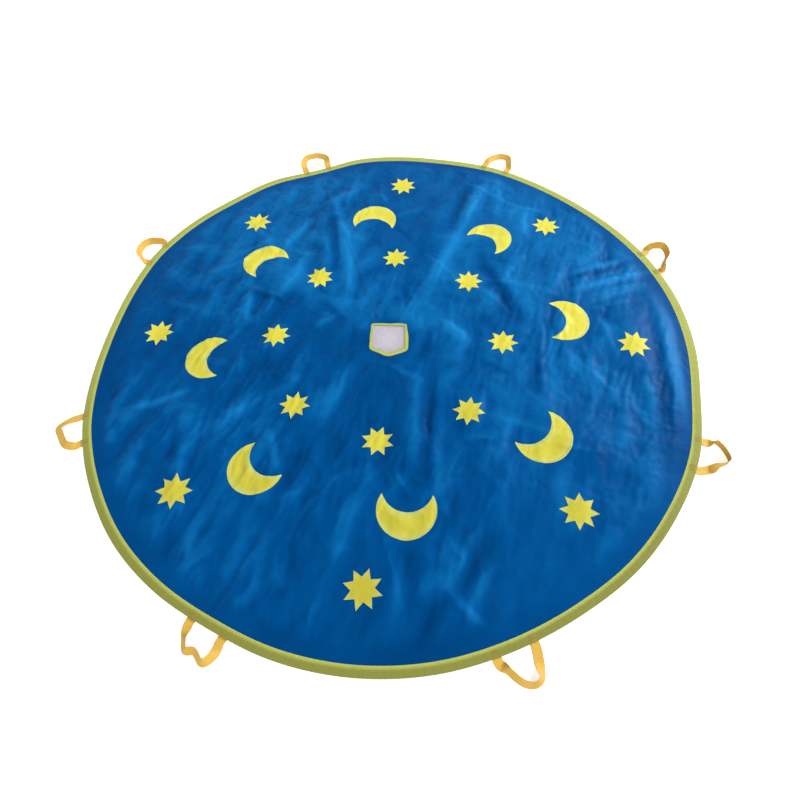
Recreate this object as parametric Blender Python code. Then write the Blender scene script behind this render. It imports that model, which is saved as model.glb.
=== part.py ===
"""Play parachute laid out on the ground: eight gores, rim binding, netted vent, figures and handles.

Units are metres, +Z is up. The origin is the middle of the canopy on the ground, and the first gore
points along -Y. Every gore, figure and handle is made by the same few functions and a loop.
"""

import math

import bmesh
import bpy
import numpy as np

# Canopy
GORE_COUNT = 8
FIRST_GORE_ANGLE = math.radians(-90.0)
RIM_RADIUS = 1.000
CLOTH_THICKNESS = 0.0005
SEAM_LAP = 0.010
SEAM_STEP = 0.003
FIT_GAP = 0.0003

# Rim binding, a tape folded over the edge of the cloth
BINDING_WIDTH = 0.033
TAPE_THICKNESS = 0.0006
EDGE_CLEARANCE = 0.0025
BINDING_SEGMENTS = 80
BINDING_FOLD_STEPS = 4

# Vent: a soft square hole with a flat tape round it and a net under it
VENT_HALF_WIDTH = 0.053
VENT_CORNER_EXPONENT = 4.2
VENT_TAPE_LIP = 0.002
VENT_TAPE_WIDTH = 0.012
VENT_TAPE_SEGMENTS = 64
NET_THICKNESS = 0.0005
NET_HEM = 0.007
NET_GAPS_ACROSS = 11
NET_STRAND_SHARE = 0.30

# Handles: loops of webbing, each sewn down by its two ends
WEBBING_WIDTH = 0.025
WEBBING_THICKNESS = 0.0014
HANDLE_SPAN = 0.097
HANDLE_REACH = 0.070
HANDLE_STANDOFF = 0.0045
HANDLE_END_LENGTH = 0.028
HANDLE_TWIST_START = 0.004
HANDLE_SQUARENESS = 0.80
HANDLE_STATIONS = 24
HANDLE_LEAN_SHARES = (-0.20, -0.15, -0.15, 0.0, 0.0, 0.0, 0.24, 0.0)
HANDLE_REACH_SHARES = (1.0, 0.96, 1.04, 1.04, 1.045, 1.04, 0.91, 0.86)

# Figures sewn on each gore; a place is a distance from the middle and one off the gore's centre line
FIGURE_THICKNESS = 0.0004
STAR_POINTS = 8
STAR_NOTCH_SHARE = 0.58
OUTER_STAR_RADIUS = 0.054
OUTER_STAR_DISTANCE = 0.800
OUTER_STAR_TURNS = (13.0, 5.0, 18.0, 8.0, 15.0, -4.0, -4.0, -5.0)
INNER_STAR_RADIUS = 0.050
INNER_STAR_DISTANCE = 0.380
INNER_STAR_TURNS = (16.0, 8.0, 4.0, 0.0, 1.0, 14.0, 0.0, 4.0)
CRESCENT_RADIUS = 0.084
CRESCENT_BITE_RADIUS = 0.075
CRESCENT_BITE_SHIFT = 0.068
CRESCENT_DISTANCE = 0.586
CRESCENT_OFFSET = 0.099
CRESCENT_HORN_BLUNTING = 0.0015
CRESCENT_ARC_STEPS = 12
CUTTER_OVERRUN = 0.010

# Folds of the loosely laid cloth. Rows: start x, start y, end x, end y, half width, all as shares of
# the rim radius, and height as a share of the fold height.
FOLD_HEIGHT = 0.014
FOLD_SHARES = (
    (-0.22, 0.13, -0.35, 0.81, 0.060, 0.80),
    (-0.13, 0.13, -0.18, 0.67, 0.060, 0.50),
    (0.22, 0.13, 0.81, 0.38, 0.070, 0.90),
    (0.31, 0.27, 0.49, 0.67, 0.065, 0.60),
    (0.80, 0.24, 0.82, -0.24, 0.065, 0.80),
    (0.10, -0.13, 0.13, -0.60, 0.060, 0.70),
    (0.27, -0.13, 0.36, -0.67, 0.070, 0.75),
    (-0.18, -0.22, -0.38, -0.67, 0.080, 0.85),
    (-0.18, -0.04, -0.72, -0.22, 0.070, 0.60),
    (-0.18, 0.13, -0.67, 0.38, 0.070, 0.70),
    (-0.07, -0.31, -0.11, -0.83, 0.070, 0.60),
    (0.34, -0.13, 0.74, -0.49, 0.070, 0.75),
    (0.09, 0.18, 0.18, 0.80, 0.065, 0.55),
    (-0.78, -0.28, -0.54, -0.68, 0.065, 0.50),
)
FOLD_VENT_FADE_SHARES = (0.085, 0.20)
FOLD_RIM_FADE_SHARES = (0.80, 0.94)

# Grid of each gore: rows from the vent to the rim, as shares of that run, and columns between seams
ROW_SHARES = (
    *(0.0, 0.025, 0.07, 0.14, 0.22, 0.30, 0.38, 0.46),
    *(0.54, 0.62, 0.70, 0.78, 0.85, 0.90, 0.945, 1.0),
)
INNER_COLUMNS = 8

# Heights that follow from the layers, from the ground up
GORE_PITCH = 2.0 * math.pi / GORE_COUNT
GORE_RADIUS = RIM_RADIUS - TAPE_THICKNESS - EDGE_CLEARANCE
BINDING_BOTTOM = WEBBING_THICKNESS + FIT_GAP
CLOTH_BOTTOM = BINDING_BOTTOM + TAPE_THICKNESS + FIT_GAP
LAP_LIFT = CLOTH_THICKNESS + FIT_GAP
TOP_TAPE_BOTTOM = CLOTH_BOTTOM + LAP_LIFT + CLOTH_THICKNESS + FIT_GAP
TOP_TAPE_TOP = TOP_TAPE_BOTTOM + TAPE_THICKNESS
HINGE_HEIGHT = WEBBING_THICKNESS + FIT_GAP / 2.0
HINGE_DISTANCE = math.sqrt(RIM_RADIUS**2 - (HANDLE_SPAN / 2.0) ** 2) + HANDLE_STANDOFF


def make_material(name, colour, roughness):
    """Return a Principled material of one cloth or webbing colour."""
    material = bpy.data.materials.new(name)
    material.use_nodes = True
    shader = material.node_tree.nodes["Principled BSDF"]
    shader.inputs["Base Color"].default_value = (*colour, 1.0)
    shader.inputs["Roughness"].default_value = roughness
    shader.inputs["Metallic"].default_value = 0.0
    material.diffuse_color = (*colour, 1.0)
    return material


def add_object(name, vertices, faces, material=None):
    """Make one closed object from its corners and faces, with the faces turned outwards."""
    mesh = bpy.data.meshes.new(name)
    mesh.from_pydata([tuple(map(float, v)) for v in vertices], [], [tuple(map(int, f)) for f in faces])
    body = bmesh.new()
    body.from_mesh(mesh)
    bmesh.ops.recalc_face_normals(body, faces=body.faces)
    body.to_mesh(mesh)
    body.free()
    if material is not None:
        mesh.materials.append(material)
    part = bpy.data.objects.new(name, mesh)
    bpy.context.scene.collection.objects.link(part)
    return part


def smooth_step(value, start, end):
    """Rise from 0 at start to 1 at end with level ends."""
    share = np.clip((np.asarray(value, dtype=float) - start) / (end - start), 0.0, 1.0)
    return share * share * (3.0 - 2.0 * share)


def fold_height(x, y):
    """Height that the folds add at (x, y): rounded ridges along straight runs, flat at vent and rim."""
    total = np.zeros_like(x)
    for start_x, start_y, end_x, end_y, width, height in FOLD_SHARES:
        run_x = (end_x - start_x) * RIM_RADIUS
        run_y = (end_y - start_y) * RIM_RADIUS
        run = math.hypot(run_x, run_y)
        from_x = x - start_x * RIM_RADIUS
        from_y = y - start_y * RIM_RADIUS
        along = np.clip((from_x * run_x + from_y * run_y) / run**2, 0.0, 1.0)
        across = (from_x * run_y - from_y * run_x) / run
        crest = np.exp(-((across / (width * RIM_RADIUS)) ** 2))
        taper = (1.0 - (2.0 * along - 1.0) ** 2) ** 1.5
        total = np.maximum(total, height * FOLD_HEIGHT * crest * taper)
    radius = np.hypot(x, y) / RIM_RADIUS
    total *= smooth_step(radius, *FOLD_VENT_FADE_SHARES)
    return total * (1.0 - smooth_step(radius, *FOLD_RIM_FADE_SHARES))


def soft_square_radius(angle, half_width):
    """Distance from the middle to a soft square of the given half width, along an angle."""
    power = VENT_CORNER_EXPONENT
    return half_width / (np.abs(np.cos(angle)) ** power + np.abs(np.sin(angle)) ** power) ** (1.0 / power)


def plan_point(distance, angle):
    """Place a canopy point: rows are round at the rim and take on the vent's outline towards it."""
    remaining = (GORE_RADIUS - distance) / (GORE_RADIUS - VENT_HALF_WIDTH)
    radius = distance + (soft_square_radius(angle, VENT_HALF_WIDTH) - VENT_HALF_WIDTH) * remaining
    return radius * np.cos(angle), radius * np.sin(angle)


def gore_grid(index):
    """Return the grid of one gore: x, y and the height of its underside, as rows by columns.

    Its clockwise edge lies low, and its other edge climbs on to the next gore's low edge, which
    makes the lapped seam. Both edges run at a fixed distance from the seam line.
    """
    first_seam = FIRST_GORE_ANGLE + (index - 0.5) * GORE_PITCH
    last_seam = first_seam + GORE_PITCH
    distances = VENT_HALF_WIDTH + np.array(ROW_SHARES) * (GORE_RADIUS - VENT_HALF_WIDTH)
    lap_angle = np.arcsin(SEAM_LAP / 2.0 / distances)
    climb_angle = np.arcsin((SEAM_LAP / 2.0 + SEAM_STEP) / distances)
    columns = [first_seam - lap_angle]
    for column in range(INNER_COLUMNS + 1):
        share = column / INNER_COLUMNS
        columns.append((first_seam + lap_angle) * (1.0 - share) + (last_seam - climb_angle) * share)
    columns.append(last_seam - lap_angle)
    columns.append(last_seam + lap_angle)
    angles = np.stack(columns, axis=1)
    x, y = plan_point(distances[:, None], angles)
    lift = np.zeros(angles.shape[1])
    lift[-2:] = LAP_LIFT
    return x, y, CLOTH_BOTTOM + fold_height(x, y) + lift[None, :]


def sheet_faces(rows, columns):
    """Faces of a closed sheet whose underside corners come first and its top corners second."""
    below = np.arange(rows * columns).reshape(rows, columns)
    above = below + rows * columns
    faces = []
    for row in range(rows - 1):
        for column in range(columns - 1):
            cell = [(row, column), (row, column + 1), (row + 1, column + 1), (row + 1, column)]
            corners = [above[c] for c in cell]
            faces += [(corners[0], corners[1], corners[2]), (corners[0], corners[2], corners[3])]
            corners = [below[c] for c in cell]
            faces += [(corners[2], corners[1], corners[0]), (corners[3], corners[2], corners[0])]
    border = list(below[0, :-1]) + list(below[:-1, -1]) + list(below[-1, :0:-1]) + list(below[:0:-1, 0])
    offset = rows * columns
    for here, there in zip(border, border[1:] + border[:1]):
        faces.append((here, there, there + offset, here + offset))
    return faces


def make_sheet(name, x, y, bottom, thickness, material=None):
    """Make a closed sheet from a grid, its top straight above its underside."""
    lower = np.stack([x, y, bottom], axis=-1).reshape(-1, 3)
    upper = lower + np.array([0.0, 0.0, thickness])
    return add_object(name, np.concatenate([lower, upper]), sheet_faces(*x.shape), material)


def star_outline(radius, turn):
    """Corners of a star about its own middle, the first point turned from the local x axis."""
    corners = []
    for corner in range(2 * STAR_POINTS):
        reach = radius if corner % 2 == 0 else radius * STAR_NOTCH_SHARE
        angle = turn + corner * math.pi / STAR_POINTS
        corners.append((reach * math.cos(angle), reach * math.sin(angle)))
    return corners


def crescent_outline():
    """Corners of a crescent about its round's middle, horns towards -y: a round less a bite."""
    squares = CRESCENT_BITE_SHIFT**2 + CRESCENT_RADIUS**2 - CRESCENT_BITE_RADIUS**2
    horn_drop = squares / (2.0 * CRESCENT_BITE_SHIFT)
    inner_drop = CRESCENT_BITE_SHIFT - horn_drop
    outer_half = math.acos(-horn_drop / CRESCENT_RADIUS) - CRESCENT_HORN_BLUNTING / CRESCENT_RADIUS
    inner_half = math.acos(inner_drop / CRESCENT_BITE_RADIUS)
    inner_half -= CRESCENT_HORN_BLUNTING / CRESCENT_BITE_RADIUS
    corners = []
    for step in range(CRESCENT_ARC_STEPS + 1):
        angle = outer_half * (2.0 * step / CRESCENT_ARC_STEPS - 1.0)
        corners.append((CRESCENT_RADIUS * math.sin(angle), CRESCENT_RADIUS * math.cos(angle)))
    for step in range(CRESCENT_ARC_STEPS + 1):
        angle = inner_half * (1.0 - 2.0 * step / CRESCENT_ARC_STEPS)
        corners.append(
            (
                CRESCENT_BITE_RADIUS * math.sin(angle),
                CRESCENT_BITE_RADIUS * math.cos(angle) - CRESCENT_BITE_SHIFT,
            )
        )
    return corners


def make_figure(name, index, outline, distance, offset, material):
    """Make one sewn-on figure: a thin layer just above the gore, trimmed to the outline.

    The outline's +y points away from the canopy's middle, and offset moves it off the gore's
    centre line, anticlockwise.
    """
    x, y, bottom = gore_grid(index)
    figure = make_sheet(name, x, y, bottom + CLOTH_THICKNESS + FIT_GAP, FIGURE_THICKNESS, material)
    centre_line = FIRST_GORE_ANGLE + index * GORE_PITCH
    outward = (math.cos(centre_line), math.sin(centre_line))
    sideways = (-outward[1], outward[0])
    corners = []
    for height in (CLOTH_BOTTOM - CUTTER_OVERRUN, CLOTH_BOTTOM + FOLD_HEIGHT + CUTTER_OVERRUN):
        for side, out in outline:
            corners.append(
                (
                    outward[0] * (distance + out) + sideways[0] * (offset + side),
                    outward[1] * (distance + out) + sideways[1] * (offset + side),
                    height,
                )
            )
    count = len(outline)
    faces = [tuple(range(count)), tuple(range(2 * count - 1, count - 1, -1))]
    faces += [(i, (i + 1) % count, (i + 1) % count + count, i + count) for i in range(count)]
    cutter = add_object(name + "_outline", corners, faces)
    cutter.hide_render = True
    cutter.display_type = "WIRE"
    trim = figure.modifiers.new("trim", "BOOLEAN")
    trim.operation = "INTERSECT"
    trim.object = cutter
    return figure


def make_ring(name, sections, material):
    """Make a closed ring from an array of sections, each a loop of corners, one after another."""
    count, corners = sections.shape[:2]
    faces = []
    for here in range(count):
        there = (here + 1) % count
        for corner in range(corners):
            after = (corner + 1) % corners
            faces.append(
                (
                    here * corners + corner,
                    there * corners + corner,
                    there * corners + after,
                    here * corners + after,
                )
            )
    return add_object(name, sections.reshape(-1, 3), faces, material)


def make_rim_binding(material):
    """Make the folded tape: two flat layers joined by a half-round fold at the rim."""
    fold_radius = (TOP_TAPE_TOP - BINDING_BOTTOM) / 2.0
    fold_centre = RIM_RADIUS - fold_radius
    middle = BINDING_BOTTOM + fold_radius
    inner_edge = RIM_RADIUS - BINDING_WIDTH
    turns = [math.pi * (step / BINDING_FOLD_STEPS - 0.5) for step in range(BINDING_FOLD_STEPS + 1)]
    profile = [(inner_edge, BINDING_BOTTOM)]
    for turn in turns:
        profile.append((fold_centre + fold_radius * math.cos(turn), middle + fold_radius * math.sin(turn)))
    profile.append((inner_edge, TOP_TAPE_TOP))
    profile.append((inner_edge, TOP_TAPE_BOTTOM))
    inside = fold_radius - TAPE_THICKNESS
    for turn in reversed(turns):
        profile.append((fold_centre + inside * math.cos(turn), middle + inside * math.sin(turn)))
    profile.append((inner_edge, BINDING_BOTTOM + TAPE_THICKNESS))
    radii = np.array([p[0] for p in profile])
    heights = np.array([p[1] for p in profile])
    angles = FIRST_GORE_ANGLE + 2.0 * np.pi * np.arange(BINDING_SEGMENTS) / BINDING_SEGMENTS
    sections = np.stack(
        [
            np.cos(angles)[:, None] * radii[None, :],
            np.sin(angles)[:, None] * radii[None, :],
            np.broadcast_to(heights, (BINDING_SEGMENTS, len(profile))),
        ],
        axis=-1,
    )
    return make_ring("rim_binding", sections, material)


def make_vent_tape(material):
    """Make the flat tape that covers the cut ends of the gores round the vent."""
    angles = 2.0 * np.pi * np.arange(VENT_TAPE_SEGMENTS) / VENT_TAPE_SEGMENTS
    inner = soft_square_radius(angles, VENT_HALF_WIDTH - VENT_TAPE_LIP)
    outer = inner + VENT_TAPE_WIDTH
    lower = [(inner, TOP_TAPE_BOTTOM), (outer, TOP_TAPE_BOTTOM)]
    upper = [(outer, TOP_TAPE_TOP), (inner, TOP_TAPE_TOP)]
    corners = []
    for radius, height in lower + upper:
        level = np.full_like(angles, height)
        corners.append(np.stack([radius * np.cos(angles), radius * np.sin(angles), level], axis=-1))
    sections = np.stack(corners, axis=1)
    return make_ring("vent_tape", sections, material)


def make_vent_net(material):
    """Make the flat net: crossing strands that leave a square gap in each cell, with a hem outside."""
    net_top = CLOTH_BOTTOM - FIT_GAP
    pitch = 2.0 / (NET_GAPS_ACROSS + NET_STRAND_SHARE)
    lines = [-1.0]
    for _ in range(NET_GAPS_ACROSS):
        lines.append(lines[-1] + pitch * NET_STRAND_SHARE)
        lines.append(lines[-1] + pitch * (1.0 - NET_STRAND_SHARE))
    lines.append(1.0)
    across, along = np.meshgrid(np.array(lines), np.array(lines))
    angle = np.arctan2(along, across)
    largest = np.maximum(np.abs(np.cos(angle)), np.abs(np.sin(angle)))
    nearness = np.maximum(abs(across), abs(along)) ** 2
    rounding = 1.0 + (soft_square_radius(angle, 1.0) * largest - 1.0) * nearness
    half_width = VENT_HALF_WIDTH + NET_HEM
    x = across * rounding * half_width
    y = along * rounding * half_width
    count = len(lines)
    lower = np.stack([x, y, np.full_like(x, net_top - NET_THICKNESS)], axis=-1).reshape(-1, 3)
    upper = np.stack([x, y, np.full_like(x, net_top)], axis=-1).reshape(-1, 3)
    layer = count * count
    faces = []
    solid = np.zeros((count + 1, count + 1), dtype=bool)
    for row in range(count - 1):
        for column in range(count - 1):
            solid[row + 1, column + 1] = row % 2 == 0 or column % 2 == 0
    for row in range(count - 1):
        for column in range(count - 1):
            if not solid[row + 1, column + 1]:
                continue
            a = row * count + column
            b, c, d = a + 1, a + count + 1, a + count
            faces += [(d, c, b, a), (a + layer, b + layer, c + layer, d + layer)]
            if not solid[row, column + 1]:
                faces.append((a, b, b + layer, a + layer))
            if not solid[row + 2, column + 1]:
                faces.append((c, d, d + layer, c + layer))
            if not solid[row + 1, column]:
                faces.append((d, a, a + layer, d + layer))
            if not solid[row + 1, column + 2]:
                faces.append((b, c, c + layer, b + layer))
    return add_object("vent_net", np.concatenate([lower, upper]), faces, material)


def handle_sections(lean_share, reach_share):
    """Return the sections of a webbing loop about its hinge, one loop of four corners per station.

    The local x axis runs clockwise along the rim and y points away from the canopy. The strap
    leaves both ends lying flat, and turns on edge towards the bow, where its width is upright.
    Every section rests on the ground. A positive lean shifts the bow clockwise.
    """
    turn = np.linspace(0.0, math.pi, HANDLE_STATIONS + 1)
    bow = np.abs(np.sin(turn)) ** HANDLE_SQUARENESS
    lean = lean_share * HANDLE_SPAN * np.sin(turn) ** 2
    x = HANDLE_SPAN / 2.0 * np.sign(np.cos(turn)) * np.abs(np.cos(turn)) ** HANDLE_SQUARENESS + lean
    reach = HANDLE_REACH * reach_share
    y = FIT_GAP / 2.0 + reach * bow
    run = np.stack([np.gradient(x), np.gradient(y), np.zeros_like(x)], axis=1)
    run[0] = (0.0, 1.0, 0.0)
    run[-1] = (0.0, -1.0, 0.0)
    run /= np.linalg.norm(run, axis=1)[:, None]
    outwards = np.stack([run[:, 1], -run[:, 0], np.zeros_like(x)], axis=1)
    upright = smooth_step(y, HANDLE_TWIST_START, reach) * math.pi / 2.0
    up = np.array([0.0, 0.0, 1.0])
    face = np.cos(upright)[:, None] * up + np.sin(upright)[:, None] * outwards
    width = np.cross(face, run)
    half_width = width * WEBBING_WIDTH / 2.0
    half_thickness = face * WEBBING_THICKNESS / 2.0
    height = np.abs(half_width[:, 2]) + np.abs(half_thickness[:, 2]) - HINGE_HEIGHT
    centre = np.stack([x, y, height], axis=1)
    corners = [(-1, -1), (1, -1), (1, 1), (-1, 1)]
    return np.stack([centre + a * half_width + b * half_thickness for a, b in corners], axis=1)


def make_strap(name, sections, material):
    """Make a closed strap from its sections, capped flat at both ends.

    A twisted side isn't flat, so opposite sides are split along the same diagonal. Split along
    different ones, two wide sides would pass through each other.
    """
    count, corners = sections.shape[:2]
    faces = [tuple(range(corners)), tuple((count - 1) * corners + c for c in range(corners - 1, -1, -1))]
    for here in range(count - 1):
        for corner in range(corners):
            after = (corner + 1) % corners
            a = here * corners + corner
            b = here * corners + after
            if corner < corners // 2:
                faces += [(a, b, b + corners), (a, b + corners, a + corners)]
            else:
                faces += [(a, b, a + corners), (b, b + corners, a + corners)]
    return add_object(name, sections.reshape(-1, 3), faces, material)


def make_handle_end(name, side, material):
    """Make one sewn-down end of a handle: flat webbing under the binding, up to the hinge line."""
    middle = side * HANDLE_SPAN / 2.0
    inner_end = -(HANDLE_STANDOFF + HANDLE_END_LENGTH)
    corners = []
    for depth in (inner_end, -FIT_GAP / 2.0):
        for across, height in ((-1, 0.0), (1, 0.0), (1, WEBBING_THICKNESS), (-1, WEBBING_THICKNESS)):
            corners.append((middle + across * WEBBING_WIDTH / 2.0, depth, height - HINGE_HEIGHT))
    faces = [(0, 1, 2, 3), (7, 6, 5, 4), (0, 4, 5, 1), (1, 5, 6, 2), (2, 6, 7, 3), (3, 7, 4, 0)]
    return add_object(name, corners, faces, material)


def make_handle(index, material):
    """Make one handle at the seam after the numbered gore: its hinged loop and its two fixed ends."""
    number = index + 1
    angle = FIRST_GORE_ANGLE + (index + 0.5) * GORE_PITCH
    place = (HINGE_DISTANCE * math.cos(angle), HINGE_DISTANCE * math.sin(angle), HINGE_HEIGHT)
    turned = angle - math.pi / 2.0
    hinge = bpy.data.objects.new(f"handle_{number}_hinge", None)
    hinge.location = place
    hinge.rotation_euler = (0.0, 0.0, turned)
    bpy.context.scene.collection.objects.link(hinge)
    sections = handle_sections(HANDLE_LEAN_SHARES[index], HANDLE_REACH_SHARES[index])
    loop = make_strap(f"handle_{number}", sections, material)
    pieces = [loop]
    for side, letter in ((1.0, "a"), (-1.0, "b")):
        pieces.append(make_handle_end(f"handle_{number}_end_{letter}", side, material))
    for piece in pieces:
        piece.parent = hinge


def main():
    """Build the whole parachute."""
    for old in list(bpy.data.objects):
        bpy.data.objects.remove(old, do_unlink=True)
    nylon = make_material("blue_nylon", (0.004, 0.105, 0.330), 0.45)
    figure_cloth = make_material("yellow_cloth", (0.800, 0.650, 0.045), 0.60)
    binding_tape = make_material("green_binding_tape", (0.420, 0.450, 0.090), 0.70)
    webbing = make_material("golden_webbing", (0.830, 0.450, 0.055), 0.75)
    net_yarn = make_material("pale_net", (0.480, 0.440, 0.500), 0.70)
    for index in range(GORE_COUNT):
        number = index + 1
        x, y, bottom = gore_grid(index)
        make_sheet(f"gore_{number}", x, y, bottom, CLOTH_THICKNESS, nylon)
        outer_star = star_outline(OUTER_STAR_RADIUS, math.radians(OUTER_STAR_TURNS[index]))
        make_figure(f"outer_star_{number}", index, outer_star, OUTER_STAR_DISTANCE, 0.0, figure_cloth)
        inner_star = star_outline(INNER_STAR_RADIUS, math.radians(INNER_STAR_TURNS[index]))
        make_figure(f"inner_star_{number}", index, inner_star, INNER_STAR_DISTANCE, 0.0, figure_cloth)
        moon = crescent_outline()
        make_figure(f"crescent_{number}", index, moon, CRESCENT_DISTANCE, CRESCENT_OFFSET, figure_cloth)
        make_handle(index, webbing)
    make_rim_binding(binding_tape)
    make_vent_tape(binding_tape)
    make_vent_net(net_yarn)


main()
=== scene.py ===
"""Play parachute laid out on a pale floor, with its sewn gores, figures, bound rim, netted vent and handles.

Every surface is worked out with numpy as a grid over two parameters and put into a mesh as whole arrays.
Units are metres, +Z is up, and the origin is the middle of the canopy on the floor.
"""

import logging
import math
from collections.abc import Callable
from dataclasses import dataclass, field
from enum import Enum
from functools import partial

import bpy
import numpy as np
from mathutils import Matrix, Vector


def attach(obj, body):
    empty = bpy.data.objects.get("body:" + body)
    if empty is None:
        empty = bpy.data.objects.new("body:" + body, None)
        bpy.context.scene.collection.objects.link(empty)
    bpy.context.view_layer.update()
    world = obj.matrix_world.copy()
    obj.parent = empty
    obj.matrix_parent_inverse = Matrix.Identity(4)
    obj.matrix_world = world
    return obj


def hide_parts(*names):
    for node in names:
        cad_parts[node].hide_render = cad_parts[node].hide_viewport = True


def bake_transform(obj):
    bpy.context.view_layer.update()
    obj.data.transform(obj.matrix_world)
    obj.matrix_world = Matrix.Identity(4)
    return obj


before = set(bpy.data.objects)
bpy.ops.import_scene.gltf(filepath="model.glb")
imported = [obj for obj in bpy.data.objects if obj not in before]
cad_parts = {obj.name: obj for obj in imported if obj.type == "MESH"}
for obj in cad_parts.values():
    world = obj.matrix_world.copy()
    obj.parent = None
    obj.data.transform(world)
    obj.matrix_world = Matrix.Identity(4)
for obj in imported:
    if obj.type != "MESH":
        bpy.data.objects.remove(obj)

log = logging.getLogger("parachute")

Pair = tuple[float, float]
Triple = tuple[float, float, float]
QUARTER = math.pi / 2.0
TURN = 2.0 * math.pi
DOWN = np.array([0.0, 0.0, -1.0])


class Held(Enum):
    """Ways in which a piece of cloth is held."""

    LAID = "laid"
    FOLDED = "folded"
    STRETCHED = "stretched"


class Body(Enum):
    """Moving bodies that a piece can ride on."""

    CANOPY = "canopy"
    LOOP = "handle_loop_{}"


class Finish(Enum):
    """Material slots of the part."""

    NYLON = "blue_nylon"
    FIGURE = "yellow_cloth"
    TAPE = "green_binding_tape"
    WEBBING = "golden_webbing"
    NET = "pale_net"


def smooth_step(value: np.ndarray, start: float, end: float) -> np.ndarray:
    """Rise from 0 at start to 1 at end with level ends: share squared times three less twice the share.

    Args:
        value: Numbers to place between start and end.
        start: Where the rise begins.
        end: Where the rise is complete.

    Returns:
        The risen shares, from 0 to 1.
    """
    share = np.clip((np.asarray(value, dtype=float) - start) / (end - start), 0.0, 1.0)
    return share * share * (3.0 - 2.0 * share)


def lattice_noise(x: np.ndarray, y: np.ndarray, seed: float) -> np.ndarray:
    """Smooth gradient noise of unit cells.

    Each lattice corner gets a slope in a direction taken from the sine of its place, and the four slopes
    round a point are mixed by the quintic fade 6t^5 - 15t^4 + 10t^3.

    Args:
        x: First coordinates, in cells.
        y: Second coordinates, in cells.
        seed: Number that picks one pattern.

    Returns:
        Noise of about -0.7 to 0.7, one value per point.
    """
    cell_x, cell_y = np.floor(x), np.floor(y)
    in_x, in_y = x - cell_x, y - cell_y

    def corner(step_x: int, step_y: int) -> np.ndarray:
        """Return the slope of one corner at every point."""
        hashed = np.sin((cell_x + step_x) * 127.1 + (cell_y + step_y) * 311.7 + seed * 74.7) * 43758.5453
        angle = TURN * (hashed - np.floor(hashed))
        return np.cos(angle) * (in_x - step_x) + np.sin(angle) * (in_y - step_y)

    fade_x, fade_y = (t**3 * (t * (t * 6.0 - 15.0) + 10.0) for t in (in_x, in_y))
    low, high = (corner(0, row) * (1.0 - fade_x) + corner(1, row) * fade_x for row in (0, 1))
    return low * (1.0 - fade_y) + high * fade_y


def linear(code: str) -> tuple[float, float, float, float]:
    """Turn an sRGB hex colour into linear RGBA.

    Args:
        code: Colour such as "#1E63A8".

    Returns:
        Red, green, blue and an alpha of 1.
    """
    shares = [int(code[start : start + 2], 16) / 255.0 for start in (1, 3, 5)]
    return (*(s / 12.92 if s <= 0.04045 else ((s + 0.055) / 1.055) ** 2.4 for s in shares), 1.0)


def add_node(
    tree: bpy.types.NodeTree,
    kind: str,
    sockets: dict | None = None,
    ramp: tuple[tuple[float, str], ...] = (),
    **settings: object,
) -> bpy.types.Node:
    """Add a shader node with its settings, values and links.

    Args:
        tree: Node tree of a material or of the world.
        kind: Blender's name of the node type, without its first word, ShaderNode.
        sockets: Input name or number, with its value, the output that feeds it, or a node for its first output.
        ramp: Stops of a colour ramp, each a place and a hex colour.
        **settings: Properties of the node.

    Returns:
        The new node.
    """
    node = tree.nodes.new("ShaderNode" + kind)
    for name, value in settings.items():
        setattr(node, name, value)
    for key, value in (sockets or {}).items():
        source = value.outputs[0] if isinstance(value, bpy.types.Node) else value
        if isinstance(source, bpy.types.NodeSocket):
            tree.links.new(source, node.inputs[key])
        else:
            node.inputs[key].default_value = source
    for number, (place, code) in enumerate(ramp):
        stops = node.color_ramp.elements
        stop = stops[number] if number < 2 else stops.new(place)
        stop.position, stop.color = place, linear(code)
    return node


def empty_tree(owner: bpy.types.Material | bpy.types.World) -> Callable[..., bpy.types.Node]:
    """Give a material or the world an empty node tree.

    Args:
        owner: Material or world.

    Returns:
        add_node, bound to the tree.
    """
    owner.use_nodes = True
    owner.node_tree.nodes.clear()
    return partial(add_node, owner.node_tree)


def show(name: str, content: bpy.types.ID) -> bpy.types.Object:
    """Put a mesh, lamp or camera into the scene at the origin.

    Args:
        name: Name of the object.
        content: The mesh, lamp or camera.

    Returns:
        The object.
    """
    thing = bpy.data.objects.new(name, content)
    bpy.context.scene.collection.objects.link(thing)
    return thing


@dataclass(frozen=True)
class Dressing:
    """A finish ready for use: its material, and the part's slot that it stands for."""

    material: bpy.types.Material
    slot: Finish


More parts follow.
